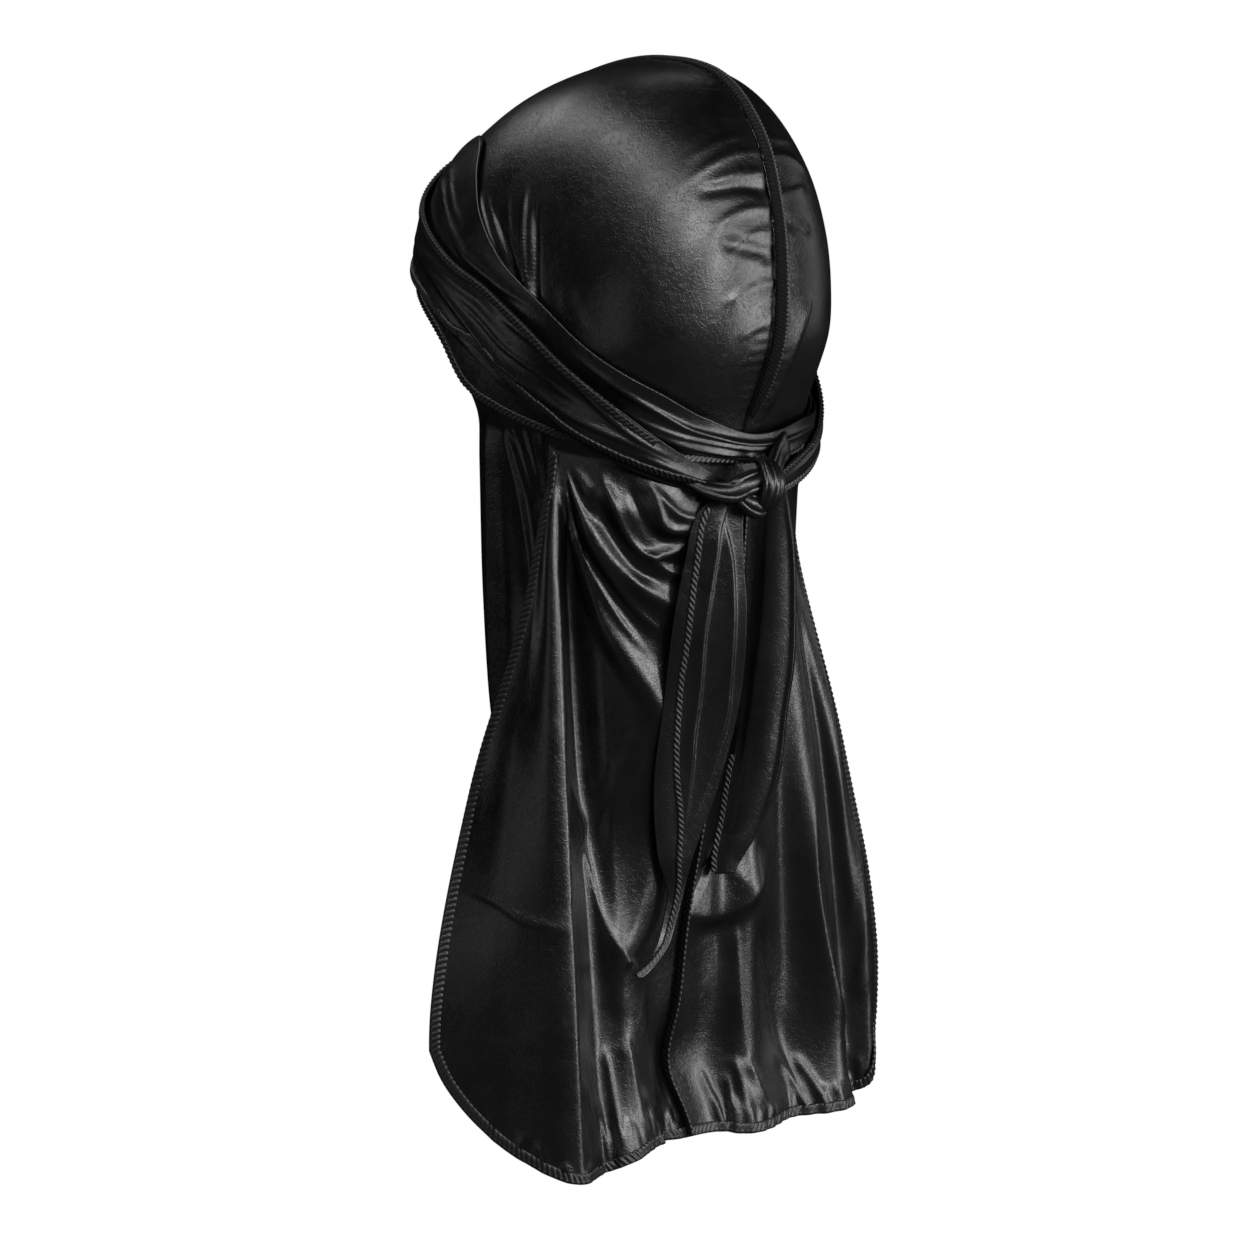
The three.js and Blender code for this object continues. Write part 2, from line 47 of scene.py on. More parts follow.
# Crown panels
# Two panels of polyester satin, each cut from the forehead to the nape and joined along the middle of
# the head. They are stretched smooth over it, drawn into short puckers by the seam and into gathers
# that run up from under the straps.
SATIN_WALL = 0.8
HALF_CAD_WALL = 0.6  # each cloth lies in the middle of its CAD solid's thicker wall
EAR = {"x": 78, "y": -4, "z": -116}  # where the crown's meridians meet
FRONT_RIM = 14  # the crown's edges, in degrees about the ear axis
NAPE_RIM = 221
EAR_CUT = 89.5
CROWN_GRID = (290, 120)  # points along the seam, and from the seam to the ear
NAPE_TUCK = {"depth": 1.4, "from": 210, "to": 215}  # the nape end lies inside the cape's top edge


def rows(names, values):
    """A short table with named columns."""
    return dict(zip(names.split(), np.array(values, float).T))


OUTLINE = rows("at radius fullness", [
    (-60, 90, 2.4), (-20, 94, 2.4), (0, 91, 2.4), (20, 96.5, 2.4), (40, 108, 2.3), (60, 110.5, 2.1),
    (80, 113, 2.0), (100, 118.5, 2.0), (116, 122, 2.0), (132, 115, 2.08), (148, 102.5, 2.25),
    (164, 93, 2.35), (180, 87.5, 2.4), (196, 82, 2.4), (210, 82, 2.4), (225, 94, 2.4), (260, 110, 2.4),
])


def through(places, values, x):
    """Value at x of a smooth curve through the values, which may themselves differ from point to point."""
    places = np.asarray(places, float)
    x = np.clip(x, places[0], places[-1])
    values = np.asarray(values, float)
    if values.ndim == 1:
        values = values.reshape((-1,) + (1,) * np.ndim(x)) + np.zeros((1,) + np.shape(x))
    last = len(places) - 1
    knots = np.arange(last + 1)
    low, high = np.maximum(knots - 1, 0), np.minimum(knots + 1, last)
    span = (places[high] - places[low]).reshape((-1,) + (1,) * np.ndim(x))
    slopes = (values[high] - values[low]) / span
    i = np.clip(np.searchsorted(places, x, side="right") - 1, 0, last - 1)
    gap = places[i + 1] - places[i]
    t = (x - places[i]) / gap

    def pick(table, at):
        return np.take_along_axis(table, np.asarray(at)[None], 0)[0]

    return (
        (2 * t**3 - 3 * t**2 + 1) * pick(values, i)
        + (t**3 - 2 * t**2 + t) * gap * pick(slopes, i)
        + (3 * t**2 - 2 * t**3) * pick(values, i + 1)
        + (t**3 - t**2) * gap * pick(slopes, i + 1)
    )


def column(table, name, x):
    return through(table["at"], table[name], x)


def smoothstep(x, low, high):
    t = np.clip((x - low) / (high - low), 0, 1)
    return t * t * (3 - 2 * t)


def head_point(angle, side, from_seam, lift):
    """A point of the head: angle about the ear axis, then degrees from the middle plane to the ear."""
    power = 2 / column(OUTLINE, "fullness", angle)
    near = np.cos(np.radians(from_seam)) ** power
    out = np.sin(np.radians(from_seam)) ** power
    reach = (column(OUTLINE, "radius", angle) + lift) * near
    return np.stack([
        side * (EAR["x"] + lift) * out,
        EAR["y"] - reach * np.cos(np.radians(angle)),
        EAR["z"] + reach * np.sin(np.radians(angle)),
    ], -1)


def normals(points):
    """Outward normals of a grid of points that hangs round the head's axis."""
    normal = np.cross(np.gradient(points, axis=1), np.gradient(points, axis=0))
    normal /= np.maximum(np.linalg.norm(normal, axis=-1, keepdims=True), 1e-9)
    outward = points - [0, EAR["y"], 0]
    outward[..., 2] -= min(EAR["z"], points[..., 2].mean())
    return normal * np.sign((normal * outward).sum(-1).mean())


FOLD_STEPS = 7  # straight pieces between two points of a fold's path
FOLD_REACH = 4  # how many of its widths away a fold still moves the cloth
FOLD_FADE = 0.25  # the share of a fold's path over which it rises, and then sinks
CREST = 0.5  # a fold's edge is never sharper than the cloth's own thickness


def folded(points, place, folds):
    """The cloth's points, moved out of its smooth shape by its folds. A fold is a path on the pattern,
    which place() carries to the cloth; its height; its width on the path's left and on its right; and how
    round it is: 1 is a crisp edge, 2 is soft. It fades out towards both ends of its path."""
    face = normals(points)
    height = np.zeros(points.shape[:2])
    for path, out, left, right, roundness in folds:
        path = np.array(path, float)
        steps = np.linspace(0, len(path) - 1, FOLD_STEPS * (len(path) - 1) + 1)
        line = place(*[through(np.arange(len(path)), path[:, k], steps) for k in (0, 1)])
        reach = FOLD_REACH * max(left, right)
        near = ((points > line.min(0) - reach) & (points < line.max(0) + reach)).all(-1)
        spots, facing = points[near], face[near]
        nearest = np.full(len(spots), np.inf)
        side, share = np.zeros(len(spots)), np.zeros(len(spots))
        for k, (start, step) in enumerate(zip(line[:-1], np.diff(line, axis=0))):
            offset = spots - start
            along = np.clip(offset @ step / step.dot(step), 0, 1)
            offset -= along[:, None] * step
            away = (offset**2).sum(-1)
            closer = away < nearest
            nearest = np.where(closer, away, nearest)
            side = np.where(closer, (np.cross(step, offset) * facing).sum(-1), side)
            share = np.where(closer, (k + along) / (len(line) - 1), share)
        away = np.sqrt(nearest + CREST**2) - CREST
        shape = np.exp(-((away / np.where(side > 0, left, right)) ** roundness))
        height[near] += out * shape * smoothstep(share, 0, FOLD_FADE) * smoothstep(1 - share, 0, FOLD_FADE)
    return points + face * height[..., None]


def cloth(name, points):
    """A closed sheet of cloth from a grid of points in millimetres, its pattern's own UV map in metres."""
    tall, wide = points.shape[:2]
    index = np.arange(tall * wide).reshape(tall, wide)
    corners = [index[:-1, :-1], index[:-1, 1:], index[1:, 1:], index[1:, :-1]]
    normal = np.cross(np.gradient(points, axis=1), np.gradient(points, axis=0))
    if (normal * normals(points)).sum() < 0:
        corners.reverse()
    faces = np.stack(corners, -1).reshape(-1, 4)
    mesh = bpy.data.meshes.new(name)
    mesh.from_pydata((points.reshape(-1, 3) / 1000).tolist(), [], faces.tolist())
    across = np.linalg.norm(np.diff(points, axis=1), axis=-1).mean(0).cumsum() / 1000
    down = np.linalg.norm(np.diff(points, axis=0), axis=-1).mean(1).cumsum() / 1000
    u, v = np.meshgrid(np.append(0, across), np.append(0, down))
    uv = mesh.uv_layers.new(name="pattern").uv
    flat = np.stack([u.ravel(), v.ravel()], -1)[faces.ravel()]
    uv.foreach_set("vector", flat.ravel().astype(np.float32))
    mesh.polygons.foreach_set("use_smooth", np.ones(len(faces), bool))
    piece = bpy.data.objects.new(name, mesh)
    bpy.context.scene.collection.objects.link(piece)
    bpy.context.view_layer.objects.active = piece
    piece.select_set(True)
    solid = piece.modifiers.new("wall", "SOLIDIFY")
    solid.thickness = SATIN_WALL / 1000
    solid.offset = 0
    bpy.ops.object.modifier_apply(modifier="wall")
    piece.select_set(False)
    return piece


def srgb(text):
    """A hex colour as Blender's linear one."""
    parts = [int(text[k : k + 2], 16) / 255 for k in (1, 3, 5)]
    return (*[p / 12.92 if p <= 0.04045 else ((p + 0.055) / 1.055) ** 2.4 for p in parts], 1)


def add_node(tree, kind, sockets, **settings):
    """Adds a node with its settings, and sets or links its sockets."""
    node = tree.nodes.new(kind)
    for name, value in settings.items():
        setattr(node, name, value)
    for name, value in sockets.items():
        if isinstance(value, bpy.types.NodeSocket):
            tree.links.new(value, node.inputs[name])
        else:
            node.inputs[name].default_value = value
    return node


def blank_material(name):
    material = bpy.data.materials.new(name)
    material.use_nodes = True
    material.node_tree.nodes.clear()
    return material, material.node_tree


# Polyester satin, woven with long floats and pressed: a deep black that shows only as gloss, broad and
# soft because the floats scatter it one way, broken up by the tiny squiggles of steamed, crushed floats.
SATIN_BLACK = "#040405"
SATIN_WORN = "#08080a"  # where dust and lint grey it a little
SQUIGGLE_MM = 3.2  # the size of one squiggle's bends
CREASE_MM = 18  # the soft, low unevenness of cloth that has been folded in a packet


def satin_material():
    material, tree = blank_material("black polyester satin, woven")
    place = add_node(tree, "ShaderNodeTexCoord", {}).outputs["Object"]
    bends = add_node(tree, "ShaderNodeTexNoise", {
        "Vector": place, "Scale": 1000 / SQUIGGLE_MM, "Detail": 1, "Roughness": 0.6, "Distortion": 1.1})
    middle = add_node(tree, "ShaderNodeMath", {0: bends.outputs["Fac"], 1: 0.5}, operation="SUBTRACT")
    off = add_node(tree, "ShaderNodeMath", {0: middle.outputs["Value"]}, operation="ABSOLUTE")
    squiggle = add_node(tree, "ShaderNodeMapRange", {
        "Value": off.outputs["Value"], "From Min": 0.0, "From Max": 0.07, "To Min": 1.0, "To Max": 0.0},
        interpolation_type="SMOOTHSTEP")
    crease = add_node(tree, "ShaderNodeTexNoise", {
        "Vector": place, "Scale": 1000 / CREASE_MM, "Detail": 3, "Roughness": 0.5, "Distortion": 0.6})
    wear = add_node(tree, "ShaderNodeMapRange", {
        "Value": crease.outputs["Fac"], "From Min": 0.35, "From Max": 0.7, "To Min": 0.0, "To Max": 1.0})
    colour = add_node(tree, "ShaderNodeMix", {
        "Factor": wear.outputs["Result"], "A": srgb(SATIN_BLACK), "B": srgb(SATIN_WORN)}, data_type="RGBA")
    gloss = add_node(tree, "ShaderNodeMapRange", {
        "Value": crease.outputs["Fac"], "From Min": 0.3, "From Max": 0.7, "To Min": 0.28, "To Max": 0.34})
    low = add_node(tree, "ShaderNodeBump", {
        "Height": crease.outputs["Fac"], "Strength": 0.22, "Distance": 0.0012})
    fine = add_node(tree, "ShaderNodeBump", {
        "Height": squiggle.outputs["Result"], "Normal": low.outputs["Normal"], "Strength": 0.2,
        "Distance": 0.00016})
    shader = add_node(tree, "ShaderNodeBsdfPrincipled", {
        "Base Color": colour.outputs["Result"], "Roughness": gloss.outputs["Result"],
        "Normal": fine.outputs["Normal"], "Specular IOR Level": 0.6})
    add_node(tree, "ShaderNodeOutputMaterial", {"Surface": shader.outputs["BSDF"]})
    return material


satin = satin_material()


def dress(piece, material, slot, *nodes):
    """Gives a finished piece its material and its body, and hides the CAD nodes it stands for."""
    piece.data.materials.append(material)
    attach(piece, "root")
    if nodes:
        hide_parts(*nodes)
    return piece


def satin_piece(name, points):
    """A piece of satin that stands for the CAD node of its name."""
    return dress(cloth(name + "_cloth", points), satin, "satin", name)


# Gathers and puckers on each panel: paths in (angle, degrees from the seam).
CROWN_FOLDS = {
    1: [
        ([(138, 30), (135.5, 16), (135, 5), (136, -5)], 0.75, 1.0, 1.3, 1.3),
        ([(133, 26), (131.5, 12), (132, -4)], 0.5, 0.8, 1.0, 1.3),
        ([(126, 14), (127, 5), (127, -4)], 0.4, 0.8, 0.9, 1.3),
        ([(141, 26), (142, 10), (144, -4)], -1.05, 2.2, 2.2, 2),
        ([(140, 22), (139, 10), (140, -4)], 0.4, 0.8, 1.2, 1.3),
        ([(151, 24), (147.5, 12), (147, 4), (148, -4)], 0.8, 1.0, 1.8, 1.3),
        ([(153, 20), (156, 8), (159, -3)], -1.05, 2.8, 3.2, 2),
        ([(158, 16), (153, 7), (153, -4)], 0.4, 0.8, 1.2, 1.3),
        ([(170, 18), (166, 7), (165, -4)], 0.6, 1.4, 2.4, 1.5),
        ([(180, 12), (176, 4), (175, -4)], 0.4, 1.2, 1.6, 1.6),
        ([(94, 55), (98, 62), (105, 69), (118, 75), (138, 78), (160, 81)], 1.7, 0.6, 1.1, 1.0),
        ([(101, 58), (109, 66), (124, 73), (143, 77), (165, 80)], -2.0, 1.4, 1.0, 1.5),
        ([(64, 50), (69, 60), (76, 68), (86, 74), (104, 80)], 1.2, 0.6, 1.6, 1.0),
        ([(74, 59), (86, 68), (101, 74.5), (124, 80)], -1.4, 1.4, 1.4, 1.5),
        ([(70, 55), (77, 63), (88, 70), (108, 77)], 0.7, 0.5, 1.0, 1.1),
        ([(84, 56), (91, 66), (105, 73), (130, 79)], 0.8, 0.5, 0.9, 1.0),
        ([(47, 54), (52, 62), (61, 70), (74, 77)], 0.9, 0.7, 1.6, 1.1),
        ([(52, 56), (60, 64), (72, 72), (86, 78)], -0.9, 1.6, 1.6, 1.6),
        ([(145, 66), (158, 67), (178, 61)], 0.5, 3, 4, 2),
    ],
    -1: [
        ([(137, -5), (136, 11.7), (138, 26)], 0.9, 1.2, 1.2, 1.3),
        ([(131, -4), (132, 11), (130, 24)], 0.6, 0.8, 0.9, 1.3),
        ([(145, -4), (144, 8), (142, 20)], 1.0, 1.2, 1.4, 1.3),
        ([(150, -4), (151, 9.4), (153, 18)], -1.0, 2.4, 2.4, 2),
        ([(168, 16), (173, 13), (180, 10), (188, 8), (198, 6.5), (210, 4)], 1.3, 1.4, 6, 1.2),
        ([(48, 78), (50, 62), (52, 50)], 1.2, 4, 2, 1.3),
        ([(74, 84), (75, 66), (76, 52)], 1.4, 3, 2, 1.2),
        ([(100, 84), (99, 66), (97, 54)], 1.2, 3, 2, 1.2),
    ],
}
SMALL_PUCKERS = {"from": 62, "to": 204, "step": 3.1}  # along the seam, in degrees


def seam_puckers(seed):
    """Short uneven puckers where the seam's thread has drawn the panel in."""
    chance = np.random.default_rng(seed)
    return [
        ([(at + chance.uniform(-1, 1), chance.uniform(4, 9)), (at, 2), (at, -2)],
         chance.uniform(0.05, 0.28), 1.1, 1.1, 1.8)
        for at in np.arange(SMALL_PUCKERS["from"], SMALL_PUCKERS["to"], SMALL_PUCKERS["step"])
    ]


def crown_panel(name, side):
    angle, from_seam = np.meshgrid(np.linspace(FRONT_RIM, NAPE_RIM, CROWN_GRID[0]),
                                   np.linspace(0, EAR_CUT, CROWN_GRID[1]))

    def place(angle, from_seam):
        tucked = smoothstep(angle, NAPE_TUCK["from"], NAPE_TUCK["to"])
        lift = -HALF_CAD_WALL - NAPE_TUCK["depth"] * tucked
        return head_point(angle, np.sign(from_seam + 1e-9) * side, np.abs(from_seam), lift)

    points = folded(place(angle, from_seam), place, CROWN_FOLDS[side] + seam_puckers(2 + side))
    points[..., 0] = side * np.maximum(side * points[..., 0], 0)
    piece = satin_piece(name, points)


crown_panel("crown_left", 1)
crown_panel("crown_right", -1)

# Crown seam
# The panels' joined edges stand up outside along the middle, overlocked in black polyester thread:
# slanted stitches wrap the allowance and chain along its free edge.
CROWN_SEAM = rows("at height", [
    (24, 0.8), (70, 1), (92, 1), (110, 2.8), (124, 5.8), (180, 7.5), (196, 6), (205, 3)])
STITCH = 2.6  # between the stitches of an overlocked edge
FIN_LEAN = 0.4  # to the right, for each millimetre of its height
FIN = {"shown": 0.7, "least": 0.9, "sunk": 0.2, "aside": -0.4, "thick": 1.3, "stitch": 1.9, "relief": 0.22}
FIN_RINGS = 400
RINGS_PER_STITCH = 8
POINTS_PER_RING = 18
CORNER_RINGS = 40  # the roll turns round a corner over so many rings on either side of it


def overlock(edge, inward, normal, wide, thick, stitch=STITCH, relief=0.65):
    """Points of an overlocked edge: a flat roll of thread along it, wrapped by slanted stitches. The
    edge is a line of points, with the directions into the cloth and out of its face at each."""
    steps = np.linalg.norm(np.diff(edge, axis=0), axis=-1)
    run = np.append(0, steps.cumsum())
    count = int(run[-1] / (stitch / RINGS_PER_STITCH)) + 2
    even = np.linspace(0, run[-1], count)
    weights = np.hanning(2 * CORNER_RINGS + 1)[:, None]

    def follow(values):
        return np.stack([np.interp(even, run, values[:, k]) for k in range(values.shape[1])], -1)

    def eased(values):
        values = values / np.linalg.norm(values, axis=-1, keepdims=True)
        padded = np.pad(values, ((CORNER_RINGS, CORNER_RINGS), (0, 0)), mode="edge")
        values = sum(padded[k : k + len(values)] * weight for k, weight in enumerate(weights))
        return values / np.linalg.norm(values, axis=-1, keepdims=True)

    edge, normal = follow(edge), eased(follow(normal))
    tangent = eased(np.gradient(edge, axis=0))
    normal -= tangent * (normal * tangent).sum(-1, keepdims=True)
    normal /= np.linalg.norm(normal, axis=-1, keepdims=True)
    square = np.cross(normal, tangent)
    inward = square * np.sign((square * follow(inward)).sum())
    half_wide = np.interp(even, run, np.broadcast_to(wide, run.shape)) / 2
    turn = np.linspace(0, 2 * math.pi, POINTS_PER_RING, endpoint=False)
    # Each stitch slants across the roll, and the chain's loops lie along its outer edge.
    phase = even[:, None] / stitch + 0.5 * np.cos(turn)[None]
    thread = np.abs(np.sin(math.pi * phase)) ** 0.6
    edge_row = np.exp(-(((np.cos(turn) + 0.85) / 0.3) ** 2))[None]
    chain = edge_row * (0.25 + 0.35 * np.abs(np.sin(math.pi * even / stitch + 1))[:, None])
    across = half_wide[:, None] * (1 + np.cos(turn)[None] * (0.88 + 0.12 * thread))
    flat_oval = np.sign(np.sin(turn)) * np.abs(np.sin(turn)) ** 0.6
    out = thick / 2 * flat_oval * (1 - relief + relief * thread + chain)
    return edge[:, None] + inward[:, None] * across[..., None] + normal[:, None] * out[..., None]


def tubes(name, bundles):
    """One mesh of closed tubes, from rings of points in millimetres."""
    places, faces, start = [], [], 0
    for rings in bundles:
        count, around = rings.shape[:2]
        index = start + np.arange(count * around).reshape(count, around)
        after = np.roll(index, -1, axis=1)
        faces += np.stack([index[:-1], after[:-1], after[1:], index[1:]], -1).reshape(-1, 4).tolist()
        faces += [index[0][::-1].tolist(), index[-1].tolist()]
        places.append(rings.reshape(-1, 3) / 1000)
        start += count * around
    mesh = bpy.data.meshes.new(name)
    mesh.from_pydata(np.concatenate(places).tolist(), [], faces)
    mesh.polygons.foreach_set("use_smooth", np.ones(len(faces), bool))
    piece = bpy.data.objects.new(name, mesh)
    bpy.context.scene.collection.objects.link(piece)
    bpy.context.view_layer.objects.active = piece
    piece.select_set(True)
    bpy.ops.object.mode_set(mode="EDIT")
    bpy.ops.mesh.select_all(action="SELECT")
    bpy.ops.mesh.normals_make_consistent(inside=False)
    bpy.ops.object.mode_set(mode="OBJECT")
    piece.select_set(False)
    return piece


# Spun polyester overlock thread: textured filament, matter than the satin, with a small soft glint on
# each turn.
THREAD_BLACK = "#070708"
THREAD_GLINT = "#131315"
FILAMENT_MM = 0.35


def thread_material():
    material, tree = blank_material("black polyester overlock thread, spun")
    place = add_node(tree, "ShaderNodeTexCoord", {}).outputs["Object"]
    filament = add_node(tree, "ShaderNodeTexNoise", {
        "Vector": place, "Scale": 1000 / FILAMENT_MM, "Detail": 1, "Roughness": 0.5})
    colour = add_node(tree, "ShaderNodeMix", {
        "Factor": filament.outputs["Fac"], "A": srgb(THREAD_BLACK), "B": srgb(THREAD_GLINT)},
        data_type="RGBA")
    twist = add_node(tree, "ShaderNodeBump", {
        "Height": filament.outputs["Fac"], "Strength": 0.3, "Distance": 0.0002})
    shader = add_node(tree, "ShaderNodeBsdfPrincipled", {
        "Base Color": colour.outputs["Result"], "Normal": twist.outputs["Normal"], "Roughness": 0.42,
        "Specular IOR Level": 0.6})
    add_node(tree, "ShaderNodeOutputMaterial", {"Surface": shader.outputs["BSDF"]})
    return material


thread = thread_material()


def overlocked(name, bundles, *nodes):
    """The overlocked edges of a piece, and the CAD nodes they stand for, if any."""
    return dress(tubes(name + "_overlock", bundles), thread, "seam_thread", *nodes)


def crown_seam_piece():
    angle = np.linspace(CROWN_SEAM["at"][0], CROWN_SEAM["at"][-1], FIN_RINGS)
    height = FIN["shown"] * column(CROWN_SEAM, "height", angle) + FIN["least"]
    foot = head_point(angle, 1, np.zeros_like(angle), -FIN["sunk"])
    top = head_point(angle, 1, np.zeros_like(angle), height - FIN["sunk"])
    foot[:, 0] = FIN["aside"]
    top[:, 0] = FIN["aside"] - FIN_LEAN * height
    down = foot - top
    face = np.cross(down, np.gradient(top, axis=0))
    rings = overlock(top, down, face, height, FIN["thick"], FIN["stitch"], FIN["relief"])
    overlocked("crown_seam", [rings], "crown_seam")


crown_seam_piece()

# Straps
# Each strap is a long ribbon of the same satin, sewn on at the nape, wound forward round one side of
# the head, over the forehead and back round the other side to the knot. Worn, it lies in lengthwise
# pleats, and both its edges are overlocked.
STRAP_LEFT = rows("at top bottom lift", [
    (156, -156, -166, 1.1), (180, -158, -167, 1.1), (205, -157, -167, 1.1), (225, -155, -166, 1.1),
    (245, -142, -162, 1.1), (262, -116, -152, 1.1), (280, -84, -136, 1.1), (300, -54, -116, 1.1),
    (318, -38, -98, 1.1), (338, -34, -78, 1.1), (350, -35, -66.5, 1.6), (359, -36, -65.5, 2.8),
    (367, -39, -66.5, 3.8), (378, -46, -76, 4.0), (392, -57, -88, 4.0), (405, -66, -95, 4.0),
    (419, -76, -103, 4.1), (433, -86, -116, 4.2), (447, -94, -128, 4.2), (457, -102, -138, 4.2),
    (468, -112, -149, 5.2), (480, -127, -160, 6.4), (492, -142, -168, 7.4), (505, -157, -176, 7.6),
    (518, -169, -182, 7.8), (529, -177, -187, 8.0),
])
STRAP_RIGHT = rows("at top bottom lift", [
    (118, -147, -163, 2.8), (135, -152, -166, 2.9), (155, -153.5, -168, 2.9), (180, -156.5, -169.5, 2.9),
    (202, -147, -168, 2.9), (215, -137, -166, 2.6), (225, -129, -164, 1.9), (235, -119, -161, 1.2),
    (251, -100, -155, 1.1), (270, -82, -147, 1.1), (285, -64, -138, 1.1), (295, -50, -121, 1.1),
    (308, -36, -108, 1.1), (322, -34, -100, 1.1), (338, -50, -97, 1.1), (350, -67, -96.5, 1.2),
    (360, -69, -96.5, 2.4), (369, -69.5, -97, 3.8), (378, -68, -98, 4.0), (392, -66, -100, 4.0),
    (405, -68, -102, 4.0), (419, -76, -107, 4.1), (433, -86, -116, 4.2), (447, -97, -128, 4.2),
    (460, -112, -142, 4.2), (475, -134, -159, 4.8), (490, -152, -170, 5.2), (505, -163, -178, 5.6),
    (518, -170, -183, 6.4), (529, -176, -186, 7.2),
])
STRAP_GRID = (560, 52)  # points along a strap, and across it
STRAP_EDGING = {"wide": 3.6, "thick": 2.2, "above": 0.5, "steps": 300, "inner": 4}
HEAD_SPAN = (10.0, 160.0)  # nothing of the head is nearer to its axis, or further from it
HALVINGS = 26


def head_at(turn, z, lift):
    """A point of the head at a turn round it from the forehead and a height, lifted off its surface. Its
    distance from the axis is found by halving the span between a least and a greatest one."""
    sin, cos = np.sin(np.radians(turn)), np.cos(np.radians(turn))
    low, high = np.full(np.shape(turn), HEAD_SPAN[0]), np.full(np.shape(turn), HEAD_SPAN[1])
    for _ in range(HALVINGS):
        reach = (low + high) / 2
        angle = np.degrees(np.arctan2(z - EAR["z"], reach * cos))
        angle = np.where(angle < OUTLINE["at"][0], angle + 360, angle)
        power = column(OUTLINE, "fullness", angle)
        sideways = np.abs(reach * sin) / (EAR["x"] + lift)
        in_plane = np.hypot(reach * cos, z - EAR["z"]) / (column(OUTLINE, "radius", angle) + lift)
        inside = sideways**power + in_plane**power < 1
        low, high = np.where(inside, reach, low), np.where(inside, high, reach)
    return np.stack([low * sin, EAR["y"] - low * cos, z + np.zeros_like(low)], -1)


# Pleats: paths in (turn, share of the width from the top edge).
STRAP_PLEATS = {
    1: [
        ([(150, 0.5), (190, 0.45), (230, 0.5), (262, 0.4)], 0.9, 1.5, 3, 1.3),
        ([(225, 0.2), (262, 0.22), (300, 0.25), (350, 0.2), (400, 0.2)], 1.1, 1.5, 4, 1.2),
        ([(235, 0.55), (280, 0.5), (330, 0.55), (380, 0.5)], 1.1, 1.5, 4, 1.2),
        ([(250, 0.8), (300, 0.75), (350, 0.8), (395, 0.72)], 1.1, 1.5, 3, 1.2),
        ([(395, 0.52), (411, 0.42), (427, 0.27), (438, 0.24), (448, 0.24), (462, 0.34)], 0.8, 2, 2.4, 1.5),
        ([(385, 0.52), (405, 0.49), (420, 0.5), (432, 0.55), (442, 0.66), (451, 0.77), (460, 0.73),
          (470, 0.66), (481, 0.6), (492, 0.52), (502, 0.42), (514, 0.35)], 1.7, 3, 0.7, 1.1),
        ([(450, 0.22), (462, 0.14), (474, 0.1), (484, 0.16), (492, 0.27), (500, 0.3), (512, 0.22)],
         1.1, 2.2, 0.7, 1.1),
        ([(395, 0.6), (405, 0.65), (414, 0.75), (424, 0.83), (433, 0.88), (446, 0.97)], 1.2, 1.6, 0.8, 1.1),
        ([(428, 0.38), (444, 0.44), (456, 0.5), (470, 0.42), (486, 0.36)], 0.5, 0.9, 0.9, 1.3),
        ([(496, 0.6), (512, 0.52), (530, 0.45)], 1.1, 2, 0.9, 1.2),
        ([(452, 1), (475, 1), (500, 1), (525, 1), (548, 1)], -4.5, 4, 4, 1.8),
    ],
    -1: [
        ([(335, 0.25), (322, 0.29), (304, 0.36), (294, 0.34), (286, 0.28), (275, 0.2), (262, 0.13),
          (248, 0.06)], 1.3, 2.4, 0.8, 1.1),
        ([(330, 0.16), (318, 0.22), (304, 0.28), (288, 0.22)], 0.5, 0.9, 0.9, 1.3),
        ([(300, 0.55), (285, 0.5), (268, 0.42), (250, 0.34)], 0.8, 1.4, 1, 1.3),
        ([(246, 0.14), (228, 0.2), (216, 0.27), (206, 0.32), (194, 0.32), (178, 0.33), (160, 0.4),
          (140, 0.45), (118, 0.5)], 1.4, 0.8, 1.6, 1.1),
        ([(232, 0.4), (216, 0.52), (200, 0.5), (180, 0.52), (160, 0.6)], 0.5, 0.8, 0.8, 1.3),
        ([(232, 0.5), (214, 0.66), (204, 0.72), (192, 0.76), (178, 0.8), (160, 0.82), (140, 0.82)],
         5.2, 14, 1.0, 1.3),
        ([(330, 0.3), (380, 0.25), (450, 0.34), (490, 0.4), (529, 0.5)], 1.4, 3, 0.9, 1.2),
        ([(330, 0.62), (380, 0.58), (450, 0.66), (510, 0.72)], 1.4, 3, 0.9, 1.2),
        ([(340, 0.84), (400, 0.84), (460, 0.84), (505, 0.88)], 1.0, 2, 0.9, 1.3),
    ],
}
# Where an overlocked edge shows on a strap: paths in (turn, share), at an edge or where it is folded over.
STRAP_EDGES = {
    1: [
        [(300, 0), (360, 0), (405, 0), (430, 0), (455, 0), (480, 0), (504, 0.02)],
        [(170, 1), (230, 1), (290, 1), (350, 1), (390, 1), (414, 1), (432, 0.94), (447, 0.82), (456, 0.87),
         (470, 0.83), (484, 0.85), (498, 0.82), (508, 0.74), (516, 0.62), (525, 0.46)],
    ],
    -1: [
        [(150, 1), (200, 1), (250, 1), (300, 1), (350, 1), (400, 1), (460, 1), (526, 1)],
        [(350, 0), (420, 0), (470, 0), (526, 0)],
    ],
}


